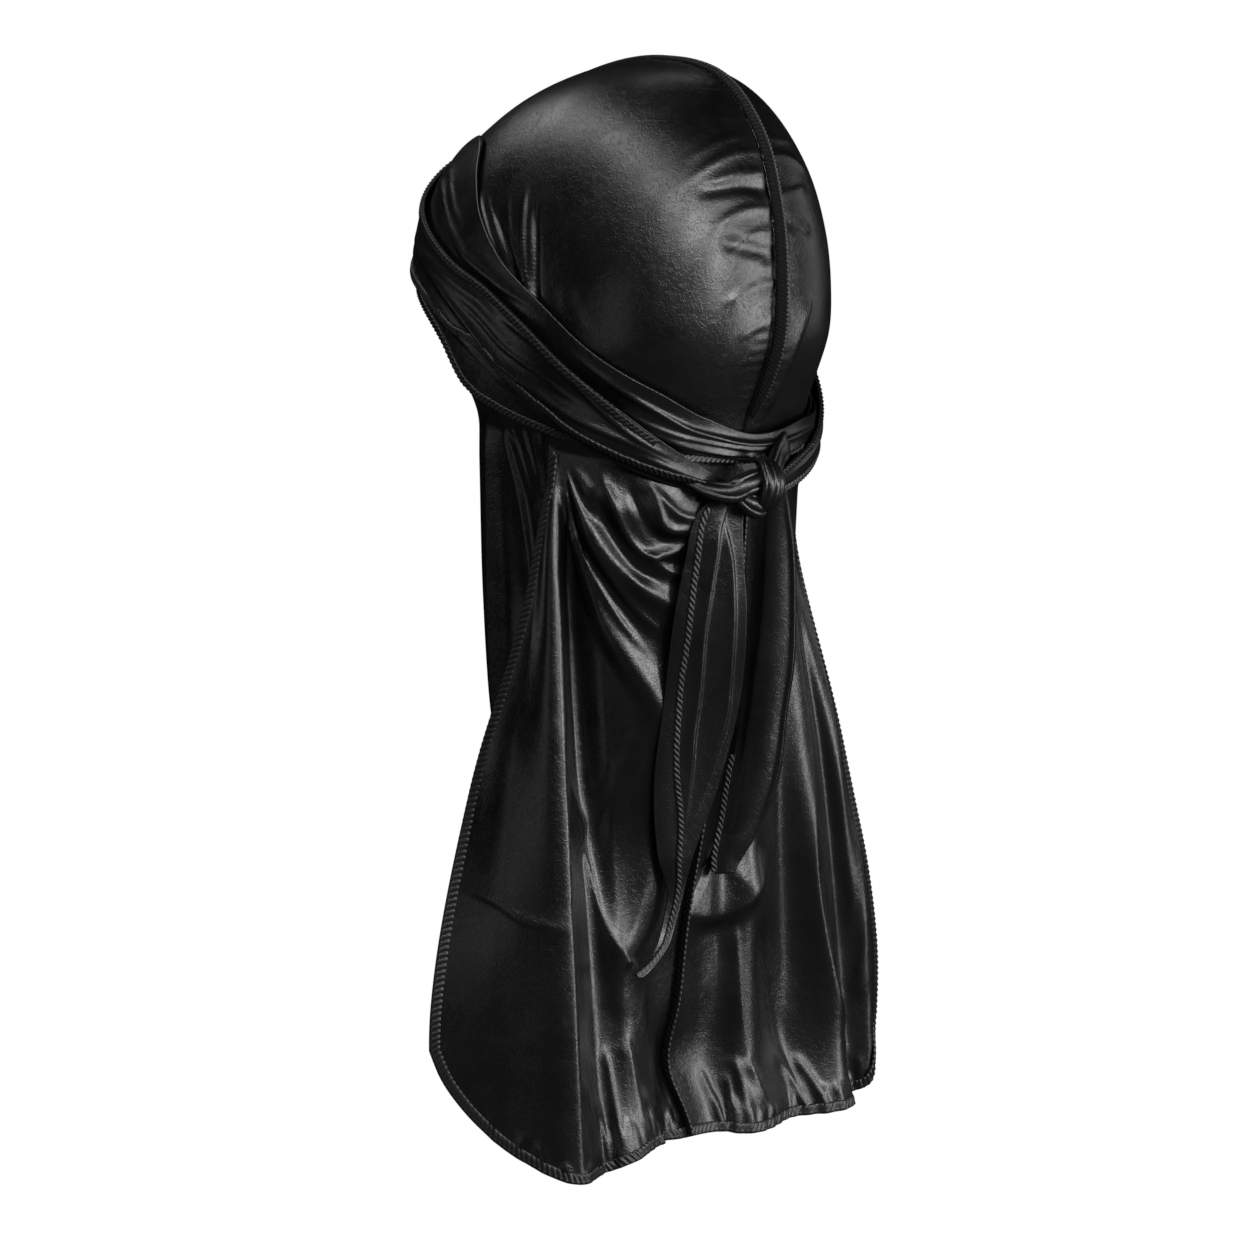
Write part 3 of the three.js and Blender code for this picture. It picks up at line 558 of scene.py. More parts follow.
def strap(name, side, table):
    turn, share = np.meshgrid(np.linspace(table["at"][0], table["at"][-1], STRAP_GRID[0]),
                              np.linspace(0, 1, STRAP_GRID[1]))

    def place(turn, share):
        z = column(table, "top", turn) * (1 - share) + column(table, "bottom", turn) * share
        points = head_at(turn, z, column(table, "lift", turn) + HALF_CAD_WALL)
        points[..., 0] *= side
        return points

    points = folded(place(turn, share), place, STRAP_PLEATS[side])
    out = normals(points)
    edges = []
    for path in STRAP_EDGES[side]:
        at = np.linspace(path[0][0], path[-1][0], STRAP_EDGING["steps"])
        across = through(*np.array(path, float).T, at)
        columns = np.interp(at, turn[0], np.arange(turn.shape[1])).round().astype(int)
        lines = (across * (len(points) - 1)).round().astype(int)
        inner = lines + np.where(lines < len(points) / 2, STRAP_EDGING["inner"], -STRAP_EDGING["inner"])
        line = points[lines, columns] + out[lines, columns] * STRAP_EDGING["above"]
        edges.append(overlock(line, points[inner, columns] - points[lines, columns], out[lines, columns],
                              STRAP_EDGING["wide"], STRAP_EDGING["thick"]))
    piece = satin_piece(name, points)
    edging = overlocked(name, edges)


strap("strap_left", 1, STRAP_LEFT)
strap("strap_right", -1, STRAP_RIGHT)

# Cape panels
# The two panels go on below the nape as a long cape, sewn together along the middle. It hangs from
# under the straps in deep folds; the near one is drawn up in swags towards the knot.
CAPE_CUT = 62  # a panel's top edge reaches so far from the seam, in degrees
CAPE_RIM = 214.5  # and lies at this angle about the ear axis
STRAP_SHADOW = 20  # how far below a strap the cape comes out to its hanging shape
SIDE_LIFT = 2.4  # under the straps a panel's side lies over the side fall
CAPE_GRID = (190, 240)  # points across a panel, and down it
CROWDING = 1.12  # over 1 sets the rows of points closer together near the top
CAPE_EDGING = {"wide": 5, "thick": 2.2, "stitch": 2.6, "top": -164}
CAPE_HEIGHTS = [-178, -230, -310, -400, -476]
# A row is one fold line: its share of the panel's width, then x and y at the five heights.
CAPE_LEFT = [
    (0, [73, 84, 102.5, 128, 125], [23, 19, 4, 7, 8]),
    (0.13, [73.5, 83, 96.5, 108, 107], [25, 25.5, 22.5, 27, 29]),
    (0.28, [73.5, 80, 82.5, 83.5, 83], [27, 34, 40, 47, 52]),
    (0.36, [70, 64.5, 62.5, 62.5, 61], [31, 25, 29, 37, 44]),
    (0.52, [62, 56.5, 51.5, 48, 47.5], [42, 37, 39.5, 42.5, 48.5]),
    (0.74, [38, 33.5, 32.5, 30, 26], [61, 54, 52.5, 39, 40]),
    (1, [3, 3, 4, 11, 5], [69, 64, 48, 37.5, 40]),
]
CAPE_RIGHT = [
    (0, [3, 3, 4, 11, 5], [69, 64, 48, 37.5, 40]),
    (0.13, [-8, -6, -12, -14, -18], [68.5, 60, 44, 34, 36]),
    (0.3, [-22, -23, -30, -33, -34], [65, 57, 47, 40, 41]),
    (0.48, [-40, -44, -50, -62, -64], [57, 46, 38, 31, 32]),
    (0.64, [-54, -58, -66, -84, -92], [47, 41, 40, 40, 42]),
    (0.78, [-62, -64, -84, -100, -108], [38, 34, 31, 28, 28]),
    (0.88, [-67, -70, -92, -114, -118], [31, 31, 33, 33, 33]),
    (1, [-70, -77, -101, -125, -123], [24, 26, 31, 29, 28]),
]
# The hem's height and the straps' lower edge, from one side of a panel to the other.
EDGES_LEFT = rows("at hem strap", [
    (0, -417, -160), (0.02, -429, -160), (0.05, -440, -160.5), (0.09, -450.5, -161), (0.15, -462, -161.5),
    (0.26, -474.5, -162.5), (0.38, -475, -164), (0.6, -469, -167), (1, -470, -171),
])
EDGES_RIGHT = rows("at hem strap", [
    (0, -470, -171), (0.3, -473, -171), (0.64, -472, -169), (0.84, -469, -166), (0.93, -459, -165),
    (1, -435, -164),
])
SWAGS = rows("sag height width", [(22, 2.2, 7), (44, 2.6, 8), (74, 2.6, 10)])
# Creases and folds of each panel: paths in (share of the width, height), read downwards or to the right.
CAPE_FOLDS = {
    1: [
        ([(0.3, -160), (0.27, -185), (0.257, -209), (0.275, -225), (0.292, -260), (0.284, -305),
          (0.283, -391), (0.283, -445), (0.283, -520)], 2.6, 2.6, 12, 1.05),
        ([(0.35, -186), (0.393, -198), (0.456, -209.5), (0.519, -222), (0.596, -238), (0.694, -254)],
         1.7, 2, 2.2, 1.1),
        ([(0.4, -180), (0.464, -196), (0.526, -209), (0.596, -223), (0.674, -236), (0.774, -247)],
         1.7, 2, 2, 1.1),
        ([(0.5, -164), (0.561, -183), (0.599, -195), (0.634, -203), (0.679, -207.6), (0.76, -206),
          (0.86, -201)], 2.6, 2.2, 2.2, 1.1),
        ([(0.6, -172), (0.64, -186), (0.68, -197), (0.74, -202), (0.84, -199)], -1.6, 2.4, 2.4, 1.6),
        ([(0.67, -172), (0.7, -187), (0.719, -194), (0.77, -197), (0.86, -194)], 2.2, 2, 2, 1.1),
        ([(0.68, -176), (0.72, -184), (0.77, -190), (0.83, -192), (0.92, -190)], 1.6, 1.6, 1.6, 1.1),
        ([(0.66, -204), (0.71, -212), (0.77, -216), (0.86, -217)], 1.8, 2, 2.4, 1.2),
        ([(0.6, -214), (0.68, -225), (0.78, -230), (0.88, -230)], 1.4, 2.4, 3, 1.3),
        ([(0.5, -230), (0.609, -253), (0.672, -267), (0.73, -284)], 1.4, 5, 5, 1.6),
        ([(0.42, -178), (0.5, -197), (0.58, -212), (0.7, -224), (0.8, -228)], 1.3, 3.5, 3.5, 1.4),
        ([(0.46, -172), (0.52, -186), (0.57, -200), (0.64, -214), (0.74, -220)], -1.4, 3, 3, 1.6),
        ([(0.32, -300), (0.335, -316), (0.365, -334), (0.426, -362), (0.511, -380), (0.6, -390),
          (0.7, -394)], 3.0, 4, 11, 1.1),
        ([(0.36, -322), (0.45, -326), (0.58, -331), (0.75, -336), (0.95, -336)], -3, 34, 26, 2),
        ([(0.5, -385), (0.6, -372), (0.68, -352), (0.74, -325)], 1.4, 6, 10, 1.6),
        ([(0.0, -349), (0.08, -351), (0.133, -355), (0.178, -360.5), (0.228, -363.5), (0.3, -367)],
         0.9, 3, 1.2, 1.2),
        ([(0.05, -268), (0.125, -310), (0.15, -352), (0.15, -410)], 1.2, 10, 10, 2),
        ([(0.36, -480), (0.5, -478), (0.65, -474), (0.85, -470)], 4, 20, 20, 2),
        ([(0.3, -428), (0.318, -449), (0.348, -480)], 1.5, 1.8, 2.6, 1.3),
        ([(0.4, -418), (0.424, -440), (0.47, -475)], 1.3, 1.8, 2.6, 1.3),
        ([(0.34, -440), (0.366, -459), (0.38, -490)], 1.1, 1.5, 2, 1.3),
        ([(0.52, -415), (0.57, -440), (0.62, -475)], 1.2, 2, 4, 1.4),
        ([(0.6, -440), (0.68, -457), (0.76, -482)], 1.2, 2, 3, 1.4),
        ([(0.65, -385), (0.689, -427), (0.76, -465)], 1.6, 6, 6, 1.6),
        ([(0.48, -400), (0.5, -425), (0.5, -470)], -1.2, 5, 5, 2),
    ],
    -1: [
        ([(-0.05, -366), (0.06, -371), (0.13, -372), (0.22, -370), (0.3, -362), (0.38, -348)],
         5, 24, 5, 1.7),
        ([(0.02, -473), (0.25, -478), (0.5, -478), (0.75, -475)], 5, 24, 24, 2),
        ([(0.64, -215), (0.66, -245), (0.677, -283), (0.68, -303), (0.652, -330), (0.626, -351),
          (0.614, -371), (0.624, -401), (0.66, -425), (0.76, -445), (0.86, -462)], 2.6, 2.4, 8, 1.1),
        ([(0.93, -200), (0.95, -235), (0.94, -281), (0.875, -325), (0.85, -355), (0.845, -380),
          (0.82, -405)], 2.0, 3.5, 7, 1.3),
        ([(0.215, -376), (0.228, -388), (0.243, -405), (0.27, -440)], 1.0, 1.6, 6, 1.3),
        ([(0.36, -375), (0.39, -400), (0.43, -425), (0.5, -455)], -1.8, 7, 7, 2),
        ([(0.1, -378), (0.13, -395), (0.12, -416)], 0.5, 2, 4, 1.6),
        ([(0.27, -438), (0.32, -453), (0.39, -475)], 1.3, 1.6, 3, 1.3),
        ([(0.22, -436), (0.25, -455), (0.27, -480)], 1.1, 1.6, 3, 1.3),
        ([(0.42, -440), (0.48, -454), (0.56, -480)], 1.3, 1.8, 3, 1.3),
        ([(0.5, -444), (0.55, -458), (0.6, -480)], 1.0, 1.6, 2.6, 1.3),
        ([(0.1, -440), (0.115, -458), (0.125, -485)], 0.9, 1.6, 2.6, 1.3),
        ([(0.19, -444), (0.188, -458), (0.185, -485)], 0.9, 1.6, 2.6, 1.3),
        ([(0.94, -340), (0.91, -375), (0.86, -410), (0.84, -430)], 1.2, 4, 3, 1.4),
        ([(0.1, -200), (0.12, -250), (0.16, -300), (0.18, -350)], 1.2, 6, 8, 1.8),
    ],
}
HEM_PUCKERS = {"from": 0.12, "to": 0.97, "step": 0.045}  # as shares of the panel's width


def hem_puckers(seed, edges):
    """Short uneven puckers where the hem's overlock has drawn the cloth in."""
    chance = np.random.default_rng(seed)
    found = []
    for at in np.arange(HEM_PUCKERS["from"], HEM_PUCKERS["to"], HEM_PUCKERS["step"]):
        hem = float(column(edges, "hem", at))
        tall = chance.uniform(7, 20)
        found.append(([(at + chance.uniform(-0.02, 0.02), hem + tall), (at, hem + 4), (at, hem - tall)],
                      chance.uniform(0.3, 0.9), 1.8, 1.8, 1.7))
    return found


def drape(table, heights, u, z):
    """A hanging sheet through its fold lines: at a share of its width and a height, a place in plan."""
    places = [row[0] for row in table]
    plan = [
        through([-h for h in heights],
                np.stack([through(places, [row[key][k] for row in table], u) for k in range(len(heights))]),
                -z)
        for key in (1, 2)
    ]
    return np.stack([*plan, z], -1)


SEAM_BEND = {"z": -436, "tall": 21, "share": 0.16, "by": [6, -5, 0]}


def sway(z, to_seam):
    """The seam hangs in a slow bend near the hem, and takes the cloth beside it along."""
    away = (z - SEAM_BEND["z"]) / SEAM_BEND["tall"]
    bend = np.exp(-(away**2) - (to_seam / SEAM_BEND["share"]) ** 2)
    return bend[..., None] * SEAM_BEND["by"]


# The swags start beside the near fold and above the straps' edge. Each sinks between its two ends, the
# more the lower it is, and stands out at a slant, to the left and the back.
SWAG_LINES = {"from": 0.3, "above": 18, "bow": 4, "skew": 0.62, "least": 0.3}
SWAG_OUT = (0.6, 0.8)


def cape_place(side, table, edges, share, z):
    """A place on a cape panel: under the straps it lies against the head, below them it hangs."""
    to_seam = 1 - share if side > 0 else share
    rim = head_point(np.full(np.shape(share), CAPE_RIM), side, CAPE_CUT * np.clip(to_seam, 0, 1),
                     -HALF_CAD_WALL)
    points = drape(table, CAPE_HEIGHTS, share, np.minimum(z, CAPE_HEIGHTS[0])) + sway(z, to_seam)
    if side > 0:
        along = np.clip((share - SWAG_LINES["from"]) / (1 - SWAG_LINES["from"]), 0, 1)
        bow = SWAG_LINES["bow"] * along * (1 - along * SWAG_LINES["skew"])
        level = (CAPE_HEIGHTS[0] + SWAG_LINES["above"] - z) / np.maximum(bow, SWAG_LINES["least"])
        shown = smoothstep(along, 0, 0.2) * (1 - smoothstep(along, 0.75, 0.95))
        for sag, height, width in zip(*(SWAGS[key] for key in ("sag", "height", "width"))):
            out = height * np.exp(-(((level - sag) / width) ** 2)) * shown
            points[..., 0] += out * SWAG_OUT[0]
            points[..., 1] += out * SWAG_OUT[1]
    strap_edge = column(edges, "strap", share)
    sewn, hung = (np.degrees(np.arctan2(p[..., 0], EAR["y"] - p[..., 1])) % 360 for p in (rim, points))
    turn = hung + (sewn - hung) * smoothstep(z, strap_edge, np.maximum(rim[..., 2], strap_edge + 6))
    lift = -HALF_CAD_WALL + SIDE_LIFT * smoothstep(to_seam, 0.4, 0.9)
    under = head_at(turn, np.maximum(z, strap_edge), lift)
    tucked = smoothstep(z, strap_edge - STRAP_SHADOW, strap_edge)[..., None]
    points = points * (1 - tucked) + under * tucked
    points[..., 2] = z
    return points


def cape_panel(name, side, table, edges):
    share, down = np.meshgrid(np.linspace(0, 1, CAPE_GRID[0]), np.linspace(0, 1, CAPE_GRID[1]) ** CROWDING)
    to_seam = 1 - share if side > 0 else share
    rim = head_point(np.full(share.shape, CAPE_RIM), side, CAPE_CUT * to_seam, -HALF_CAD_WALL)
    z = rim[..., 2] * (1 - down) + column(edges, "hem", share) * down

    def place(share, z):
        return cape_place(side, table, edges, share, z)

    points = folded(place(share, z), place, CAPE_FOLDS[side] + hem_puckers(5 + side, edges))
    out = normals(points)
    # The overlocked edge runs down the free edge and along the hem to the seam.
    free, inner, across = (0, 1, 1) if side > 0 else (-1, -2, -1)
    below = points[:, free, 2] < CAPE_EDGING["top"]
    line = np.concatenate([points[below, free], points[-1, ::across][1:]])
    inward = np.concatenate([points[below, inner] - points[below, free],
                             (points[-2] - points[-1])[::across][1:]])
    face = np.concatenate([out[below, free], out[-1, ::across][1:]])
    piece = satin_piece(name, points)
    rings = overlock(line, inward, face, CAPE_EDGING["wide"], CAPE_EDGING["thick"], CAPE_EDGING["stitch"])
    edging = overlocked(name, [rings])


cape_panel("cape_left", 1, CAPE_LEFT, EDGES_LEFT)
cape_panel("cape_right", -1, CAPE_RIGHT, EDGES_RIGHT)

# Cape seam
# The panels' joined edges stand outwards as a narrow overlocked ridge from the knot to the hem.
SEAM_RIDGE = 3
RIDGE = {"below_strap": 6, "above_hem": 1.5, "clear": 1.55, "rooted": 1.2, "thick": 1.4, "rings": 300}


def cape_seam_piece():
    z = np.linspace(CAPE_HEIGHTS[0] - RIDGE["below_strap"], EDGES_RIGHT["hem"][0] + RIDGE["above_hem"],
                    RIDGE["rings"])
    line = drape(CAPE_RIGHT, CAPE_HEIGHTS, np.zeros_like(z), z) + sway(z, 0 * z)
    edge = line + [0, RIDGE["clear"] + SEAM_RIDGE, 0]
    face = np.tile([1.0, 0, 0], (len(z), 1))
    rings = overlock(edge, line - edge, face, SEAM_RIDGE + RIDGE["rooted"], RIDGE["thick"])
    overlocked("cape_seam", [rings], "cape_seam")


cape_seam_piece()

# Side falls
# The side of each panel falls free between the ear and the nape, inside the cape's free edge.
FALL_HEIGHTS = [-158, -172, -230, -300, -335]
FALL_TOP = {"turn": (71, 124), "z": (-128, -147)}
SIDE_FALL = [
    (0, [66, 66, 66, 66, 64], [-28, -28, -25.5, -17, -10]),
    (0.35, [70, 70, 69, 67, 66], [-14, -13, -9, -9, -6]),
    (0.6, [66, 65, 64, 63, 63], [0, 0, 2, -2, -2]),
    (0.85, [64, 62.5, 61, 60.5, 60.5], [16, 15.5, 14, 7, 4]),
    (1, [58, 57, 57, 58, 58], [33, 32, 27, 15, 10]),
]
FALL_FOLDS = [
    ([(0.4, -140), (0.47, -165), (0.537, -184), (0.6, -215), (0.62, -240)], 1.8, 1.6, 5, 1.2),
    ([(0.4, -140), (0.48, -156), (0.557, -165), (0.664, -191)], 1.5, 1.8, 3, 1.2),
    ([(0.55, -148), (0.61, -160), (0.658, -169), (0.76, -186)], 1.3, 1.6, 3, 1.2),
    ([(0.28, -135), (0.2, -170), (0.121, -214), (0.06, -267), (0.04, -330)], 1.6, 4, 4, 1.6),
    ([(0.75, -150), (0.8, -180), (0.85, -220)], 1.0, 3, 3, 1.4),
]
FALL_GRID = (80, 180)  # points across a side fall, and down it


def fall_top(name, share):
    """The top edge's turn round the head, or its height, at a share of the width."""
    start, end = FALL_TOP[name]
    return start + (end - start) * share


def side_fall(name, side):
    share, down = np.meshgrid(np.linspace(0, 1, FALL_GRID[0]), np.linspace(0, 1, FALL_GRID[1]))
    top = fall_top("z", share)

    def place(share, z):
        points = drape(SIDE_FALL, FALL_HEIGHTS, share, np.minimum(z, FALL_HEIGHTS[0]))
        lift = np.full(np.shape(z), -HALF_CAD_WALL)
        sewn = head_at(fall_top("turn", share), np.maximum(z, FALL_HEIGHTS[0]), lift)
        at_head = smoothstep(z, FALL_HEIGHTS[0], fall_top("z", share))[..., None]
        points = points * (1 - at_head) + sewn * at_head
        points[..., 2] = z
        return points

    points = folded(place(share, top + (FALL_HEIGHTS[-1] - top) * down), place, FALL_FOLDS)
    points[..., 0] *= side
    piece = satin_piece(name, points)


side_fall("side_fall_left", 1)
side_fall("side_fall_right", -1)

# Strap ends
# The straps' free ends hang from the knot over the cape, folded lengthwise as they were pulled tight,
# with an overlocked edge showing on one fold and gathered at the tip.
TIE_LEFT = rows("at x y width turn fold", [
    (179, 12.5, 76, 10, 30, 0.6), (190, 18.5, 71.5, 20.5, 30, 0.8), (210, 21, 70.5, 26, 30, 1),
    (236, 22, 69, 32.5, 30, 1), (272, 21.4, 63.5, 34.8, 26, 1), (308, 24.8, 58, 31.5, 20, 1),
    (339, 26.3, 53, 18, 18, 1), (356, 23.5, 50, 8.5, 16, 0.8), (371, 27, 49, 6.5, 14, 0.6),
    (380, 32.3, 50, 6, 14, 0.5), (388, 43, 51.5, 5, 18, 0.4), (391, 48, 51.5, 2.5, 20, 0.3),
])
TIE_RIGHT = rows("at x y width turn fold", [
    (181.5, -8.8, 77.5, 10, 30, 1), (203, -14, 72.5, 16, 36, 2.6), (227, -16.8, 69.5, 19, 38, 3.4),
    (258, -18.2, 66, 21.5, 38, 3.6), (281, -18.2, 62.5, 20.5, 36, 3.4), (308, -17, 58.5, 23, 34, 3),
    (330, -14.2, 54, 19, 32, 2.4), (346, -9, 50, 13, 28, 1.6), (352.5, -7.5, 49, 9, 28, 1),
])
TIE_SECTION = rows("at out", [(0, -0.3), (0.5, 0.15), (1, -1)])
# Folds of each end: paths in (share of the width, distance below the origin's level), read downwards.
TIE_FOLDS = {
    "tie_end_left": [
        ([(0.68, 174), (0.54, 192), (0.49, 210), (0.42, 239), (0.43, 262), (0.44, 285), (0.5, 302),
          (0.6, 335)], 1.9, 0.6, 7, 1.1),
        ([(0.45, 184), (0.63, 196), (0.72, 204), (0.79, 214), (0.81, 235), (0.82, 262), (0.84, 280),
          (0.78, 304), (0.7, 330)], 1.8, 0.6, 7, 1.1),
        ([(0.1, 200), (0.12, 250), (0.14, 300), (0.2, 350)], 0.5, 4, 4, 2),
    ],
    "tie_end_right": [
        ([(0.3, 176), (0.3, 200), (0.26, 240), (0.2, 275), (0.25, 310), (0.35, 350)], 0.6, 3, 1.5, 1.4),
        ([(0.9, 178), (0.93, 205), (0.93, 240), (0.93, 280), (0.9, 315), (0.85, 345)], 1.2, 0.7, 0.7, 1.2),
        ([(0.6, 250), (0.62, 290), (0.55, 330), (0.5, 350)], 0.5, 4, 5, 2),
    ],
}
# The overlocked edge of each end, where it is folded over to the front: (share of the width, distance).
TIE_EDGES = {
    "tie_end_left": [(0.25, 188), (0.25, 215), (0.255, 239), (0.225, 268), (0.32, 299), (0.57, 329),
                     (0.7, 353), (0.75, 373), (0.85, 385), (0.5, 391)],
    "tie_end_right": [(0.04, 300), (0.02, 320), (0.03, 338), (0.1, 351)],
}
TIE_GRID = (100, 260)  # points across a strap end, and down it
TIE_EDGING = {"wide": 2.8, "thick": 1.8, "above": 0.5, "steps": 200, "inner": 5}


def tie_end(name, table):
    share, below = np.meshgrid(np.linspace(0, 1, TIE_GRID[0]),
                               np.linspace(table["at"][0], table["at"][-1], TIE_GRID[1]))

    def place(share, below):
        turn = np.radians(column(table, "turn", below))
        across = (share - 0.5) * column(table, "width", below)
        out = column(table, "fold", below) * column(TIE_SECTION, "out", share)
        return np.stack([
            column(table, "x", below) - across * np.cos(turn) + out * np.sin(turn),
            column(table, "y", below) + across * np.sin(turn) + out * np.cos(turn),
            -below,
        ], -1)

    points = folded(place(share, below), place, TIE_FOLDS[name])
    out = normals(points)
    shares, distances = np.array(TIE_EDGES[name], float).T
    at = np.linspace(distances[0], distances[-1], TIE_EDGING["steps"])
    lines = np.interp(at, below[:, 0], np.arange(len(below))).round().astype(int)
    columns = (through(distances, shares, at) * (points.shape[1] - 1)).round().astype(int)
    line = points[lines, columns] + out[lines, columns] * TIE_EDGING["above"]
    # At the cloth's own edge there is no point further in, so a hair's breadth gives the direction.
    inner = points[lines, np.maximum(columns - TIE_EDGING["inner"], 0)] + [1e-3, 0, 0]
    edge = overlock(line, inner - points[lines, columns], out[lines, columns],
                    TIE_EDGING["wide"], TIE_EDGING["thick"])
    piece = satin_piece(name, points)
    edging = overlocked(name, [edge])


tie_end("tie_end_left", TIE_LEFT)
tie_end("tie_end_right", TIE_RIGHT)

# Knot
# The two straps cross and are pulled tight at the nape: one lies across, the other wraps over it in
# a few round pleats, and what is tucked under bulges below.
KNOT = (6, 81, -178)
STRAND_STEPS = 14  # rings between two points of a strand's path
POINTS_PER_PLEAT = 20


def strand(path, wide, deep, pleats, face):
    """Rings of a gathered strap: its path, its half width and half depth at each point of the path, how
    many round pleats it lies in, and the direction that its broad side faces."""
    knots = np.arange(len(path))
    steps = np.linspace(0, len(path) - 1, STRAND_STEPS * (len(path) - 1) + 1)
    line = np.stack([through(knots, np.array(path, float)[:, k], steps) for k in range(3)], -1)
    tangent = np.gradient(line, axis=0)
    tangent /= np.linalg.norm(tangent, axis=-1, keepdims=True)
    side = np.cross(tangent, np.broadcast_to(face, line.shape))
    side /= np.linalg.norm(side, axis=-1, keepdims=True)
    front = np.cross(side, tangent)
    turn = np.linspace(0, 2 * math.pi, POINTS_PER_PLEAT * pleats, endpoint=False)
    ridge = 0.78 + 0.22 * np.sqrt(np.abs(np.sin(turn * pleats)))
    across = through(knots, wide, steps)[:, None] * np.cos(turn)[None]
    out = through(knots, deep, steps)[:, None] * np.sin(turn)[None] * ridge
    rings = line[:, None] + side[:, None] * across[..., None] + front[:, None] * out[..., None]
    return rings + np.array(KNOT)


def knot_piece():
    bundles = [
        # the strap that lies across, in under the wrap from the left and out below the right band
        strand([(27, -15, 3), (20.5, -7, -1), (14, -1.5, -2), (8, 1, 0.5), (2, 2, 2), (-4, 1, 2)],
               [2.5, 4.2, 5, 5.4, 5.4, 4], [1.2, 2.2, 3, 3.6, 3.8, 3], 3, (0, 1, 0.3)),
        # the wrap over it, drawn tight into five round pleats
        strand([(-4, -3, 9), (-3.5, 2.5, 8.5), (-3, 6, 4), (-2.5, 6.8, -1), (-2, 4.5, -7), (-2, -2, -11)],
               [3, 5, 6.2, 6.6, 6, 3.5], [2, 3, 3.6, 4, 3.6, 2], 5, (0, 1, 0)),
        # the right strap, in from under the wrap
        strand([(-38, -22, 16), (-28, -9.5, 15), (-19, -5, 11.5), (-11, -1, 6.5), (-4, 1, 1)],
               [5, 6, 5.5, 5, 4], [0.8, 1.2, 2, 2.8, 3], 3, (0, 1, 0)),
        # the tucked part that bulges below
        strand([(10, -3, -3), (6, 0.5, -7), (0, 1, -9), (-5, -2, -8)], [2.5, 5, 5.5, 3],
               [2, 3.6, 4, 2], 3, (0, 1, 0)),
    ]
    dress(tubes("knot_strands", bundles), satin, "satin", "knot")


knot_piece()

# Studio
# A pale paper floor that meets a pale room, large soft boxes, and the camera at the photograph's
# angle, far enough back to keep the wrap's proportions.
FLOOR_DROP = 0.2  # in metres, so that the hem's shade stays off it
FLOOR_SIDE = 16


def studio_floor():
    floor_level = CAPE_HEIGHTS[-1] / 1000 - FLOOR_DROP
    bpy.ops.mesh.primitive_plane_add(size=FLOOR_SIDE, location=(0, 0, floor_level))
    floor = bpy.context.object
    floor.name = "studio_floor"
    material, tree = blank_material("white backdrop paper, matt")
    # Seen directly the paper is lit to white, as a studio sweep is; it throws little light on the satin.
    paper = add_node(tree, "ShaderNodeBsdfDiffuse", {"Color": srgb("#565656")})
    lit = add_node(tree, "ShaderNodeEmission", {"Color": srgb("#ffffff"), "Strength": 1.0})
    bright = add_node(tree, "ShaderNodeMixShader", {
        0: 0.996, 1: paper.outputs["BSDF"], 2: lit.outputs["Emission"]})
    seen_by = add_node(tree, "ShaderNodeLightPath", {})
    shown = add_node(tree, "ShaderNodeMixShader", {
        0: seen_by.outputs["Is Camera Ray"], 1: paper.outputs["BSDF"], 2: bright.outputs["Shader"]})
    add_node(tree, "ShaderNodeOutputMaterial", {"Surface": shown.outputs["Shader"]})
    floor.data.materials.append(material)


studio_floor()

world = bpy.data.worlds.new("pale room")
bpy.context.scene.world = world
world.use_nodes = True
world.node_tree.nodes.clear()
ray = add_node(world.node_tree, "ShaderNodeLightPath", {})
seen = add_node(world.node_tree, "ShaderNodeBackground", {"Color": srgb("#ffffff"), "Strength": 1.0})
dim = add_node(world.node_tree, "ShaderNodeBackground", {"Color": srgb("#ffffff"), "Strength": 0.01})
mixed = add_node(world.node_tree, "ShaderNodeMixShader", {
    0: ray.outputs["Is Camera Ray"], 1: dim.outputs["Background"], 2: seen.outputs["Background"]})
add_node(world.node_tree, "ShaderNodeOutputWorld", {"Surface": mixed.outputs["Shader"]})

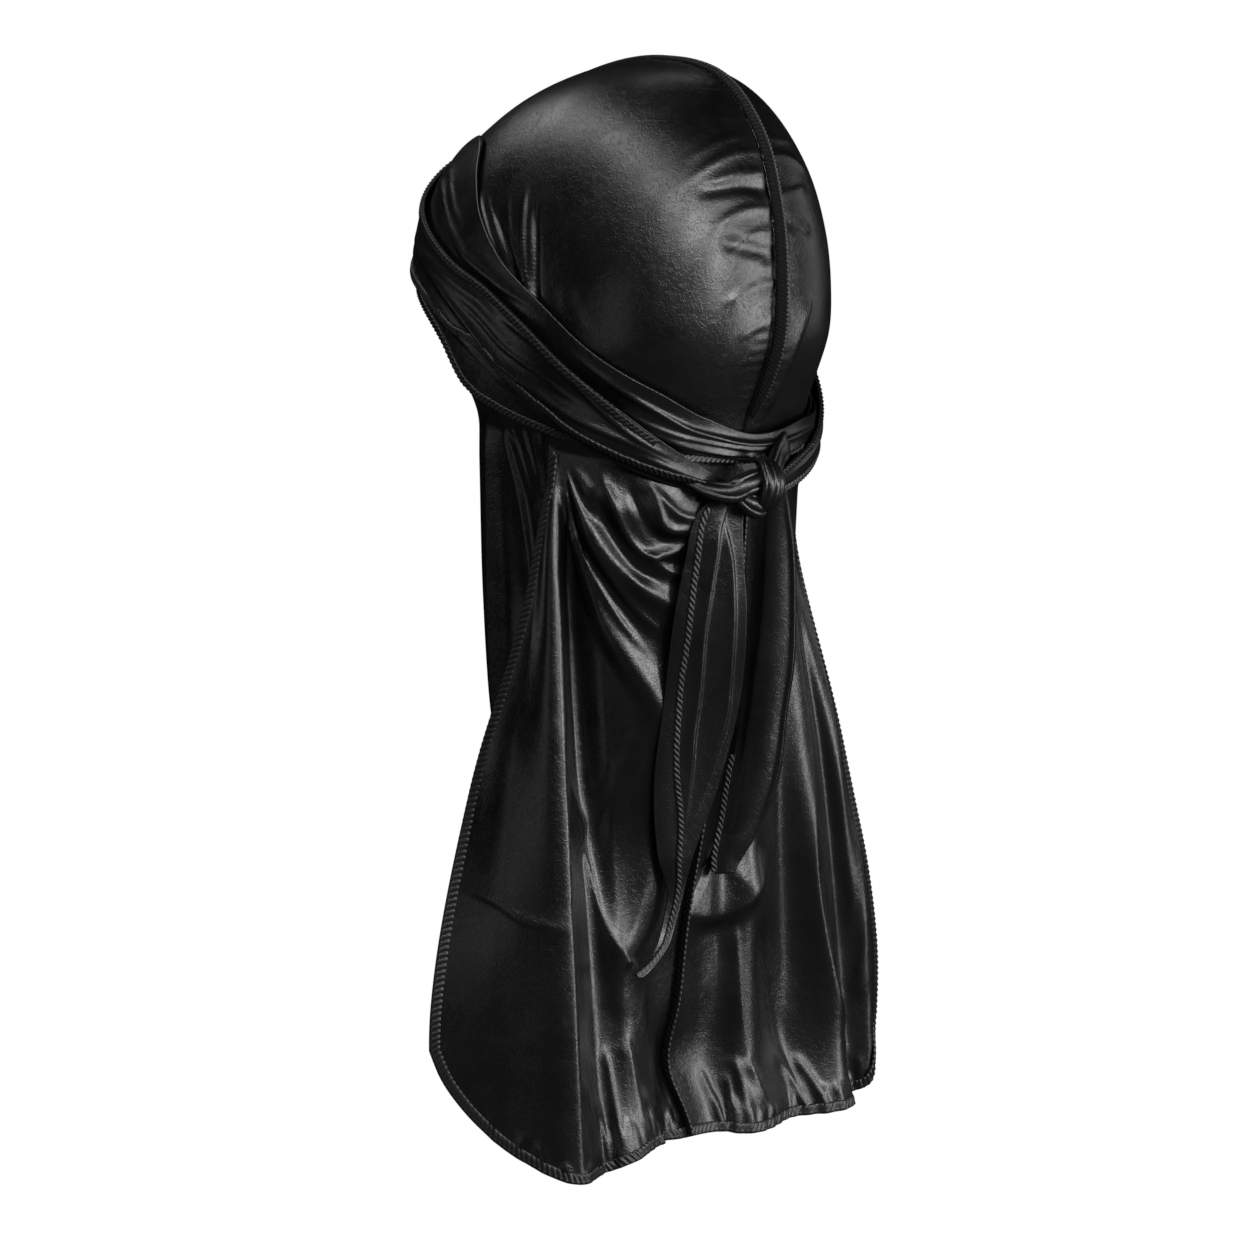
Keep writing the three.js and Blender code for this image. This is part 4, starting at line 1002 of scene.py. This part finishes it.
AZIMUTH, ELEVATION = math.radians(136), math.radians(8)
DISTANCE = 2200
PX_PER_MM = 2.27
FRAME_PX = 1254
AIM = np.array([0, -4, -244.8])
AIM_PX = (628.5, 619)
SENSOR_MM = 36
back = np.array([math.sin(AZIMUTH) * math.cos(ELEVATION), -math.cos(AZIMUTH) * math.cos(ELEVATION),
                 math.sin(ELEVATION)])
right = np.cross([0, 0, 1.0], back)
right /= np.linalg.norm(right)
up = np.cross(back, right)
centre = AIM + ((FRAME_PX / 2 - AIM_PX[0]) * right + (AIM_PX[1] - FRAME_PX / 2) * up) / PX_PER_MM
camera_data = bpy.data.cameras.new("camera")
camera = bpy.data.objects.new("camera", camera_data)
bpy.context.scene.collection.objects.link(camera)
camera_data.sensor_width = SENSOR_MM
camera_data.lens = SENSOR_MM * PX_PER_MM * DISTANCE / FRAME_PX
camera_data.clip_end = 100  # in metres
place = np.eye(4)
place[:3, :3] = np.stack([right, up, back], -1)
place[:3, 3] = (centre + back * DISTANCE) / 1000
camera.matrix_world = place.T.tolist()
bpy.context.scene.camera = camera

LIGHT_STAND = 1.6  # metres from the crown's rim, which they are aimed at
LIT = [0, 0, -0.15]


def softbox(name, azimuth, elevation, wide, tall, watts):
    """An area light aimed at the crown from a direction given as the camera's is."""
    a, e = math.radians(azimuth), math.radians(elevation)
    away = np.array([math.sin(a) * math.cos(e), -math.cos(a) * math.cos(e), math.sin(e)])
    data = bpy.data.lights.new(name, "AREA")
    data.shape = "RECTANGLE"
    data.size, data.size_y = wide, tall
    data.energy = watts
    light = bpy.data.objects.new(name, data)
    bpy.context.scene.collection.objects.link(light)
    side = np.cross([0, 0, 1.0], away)
    side /= np.linalg.norm(side)
    stand = np.eye(4)
    stand[:3, :3] = np.stack([side, np.cross(away, side), away], -1)
    stand[:3, 3] = np.array(LIT) + away * LIGHT_STAND
    light.matrix_world = stand.T.tolist()


# A row of boxes in an arc over the wrap, from its left front to its right back, gives the crown its
# curved highlight; the tall boxes at its right back light the folds that face them.
ARC_SIZE = (0.5, 0.24)
ARC = rows("azimuth elevation watts", [
    (0, 38, 1.2), (20, 48, 1.4), (45, 55, 1.7), (72, 56, 2.2), (100, 52, 2.7), (126, 43, 3.3),
    (148, 31, 4.4), (166, 20, 6.6)])
for number, (azimuth, elevation, watts) in enumerate(zip(*ARC.values())):
    softbox(f"arc box {number + 1}", azimuth, elevation, *ARC_SIZE, watts)
softbox("right box", 187, 9, 0.34, 0.55, 9)
softbox("tall right box", 214, -5, 0.44, 0.9, 10)
softbox("far right box", 256, 4, 0.5, 0.9, 1.2)
softbox("left box", 108, -6, 0.7, 0.9, 0.95)
softbox("left front box", 46, 4, 0.5, 0.5, 0.7)
softbox("top box", 316, 60, 0.8, 0.4, 0.7)
bpy.context.scene.view_settings.view_transform = "Standard"
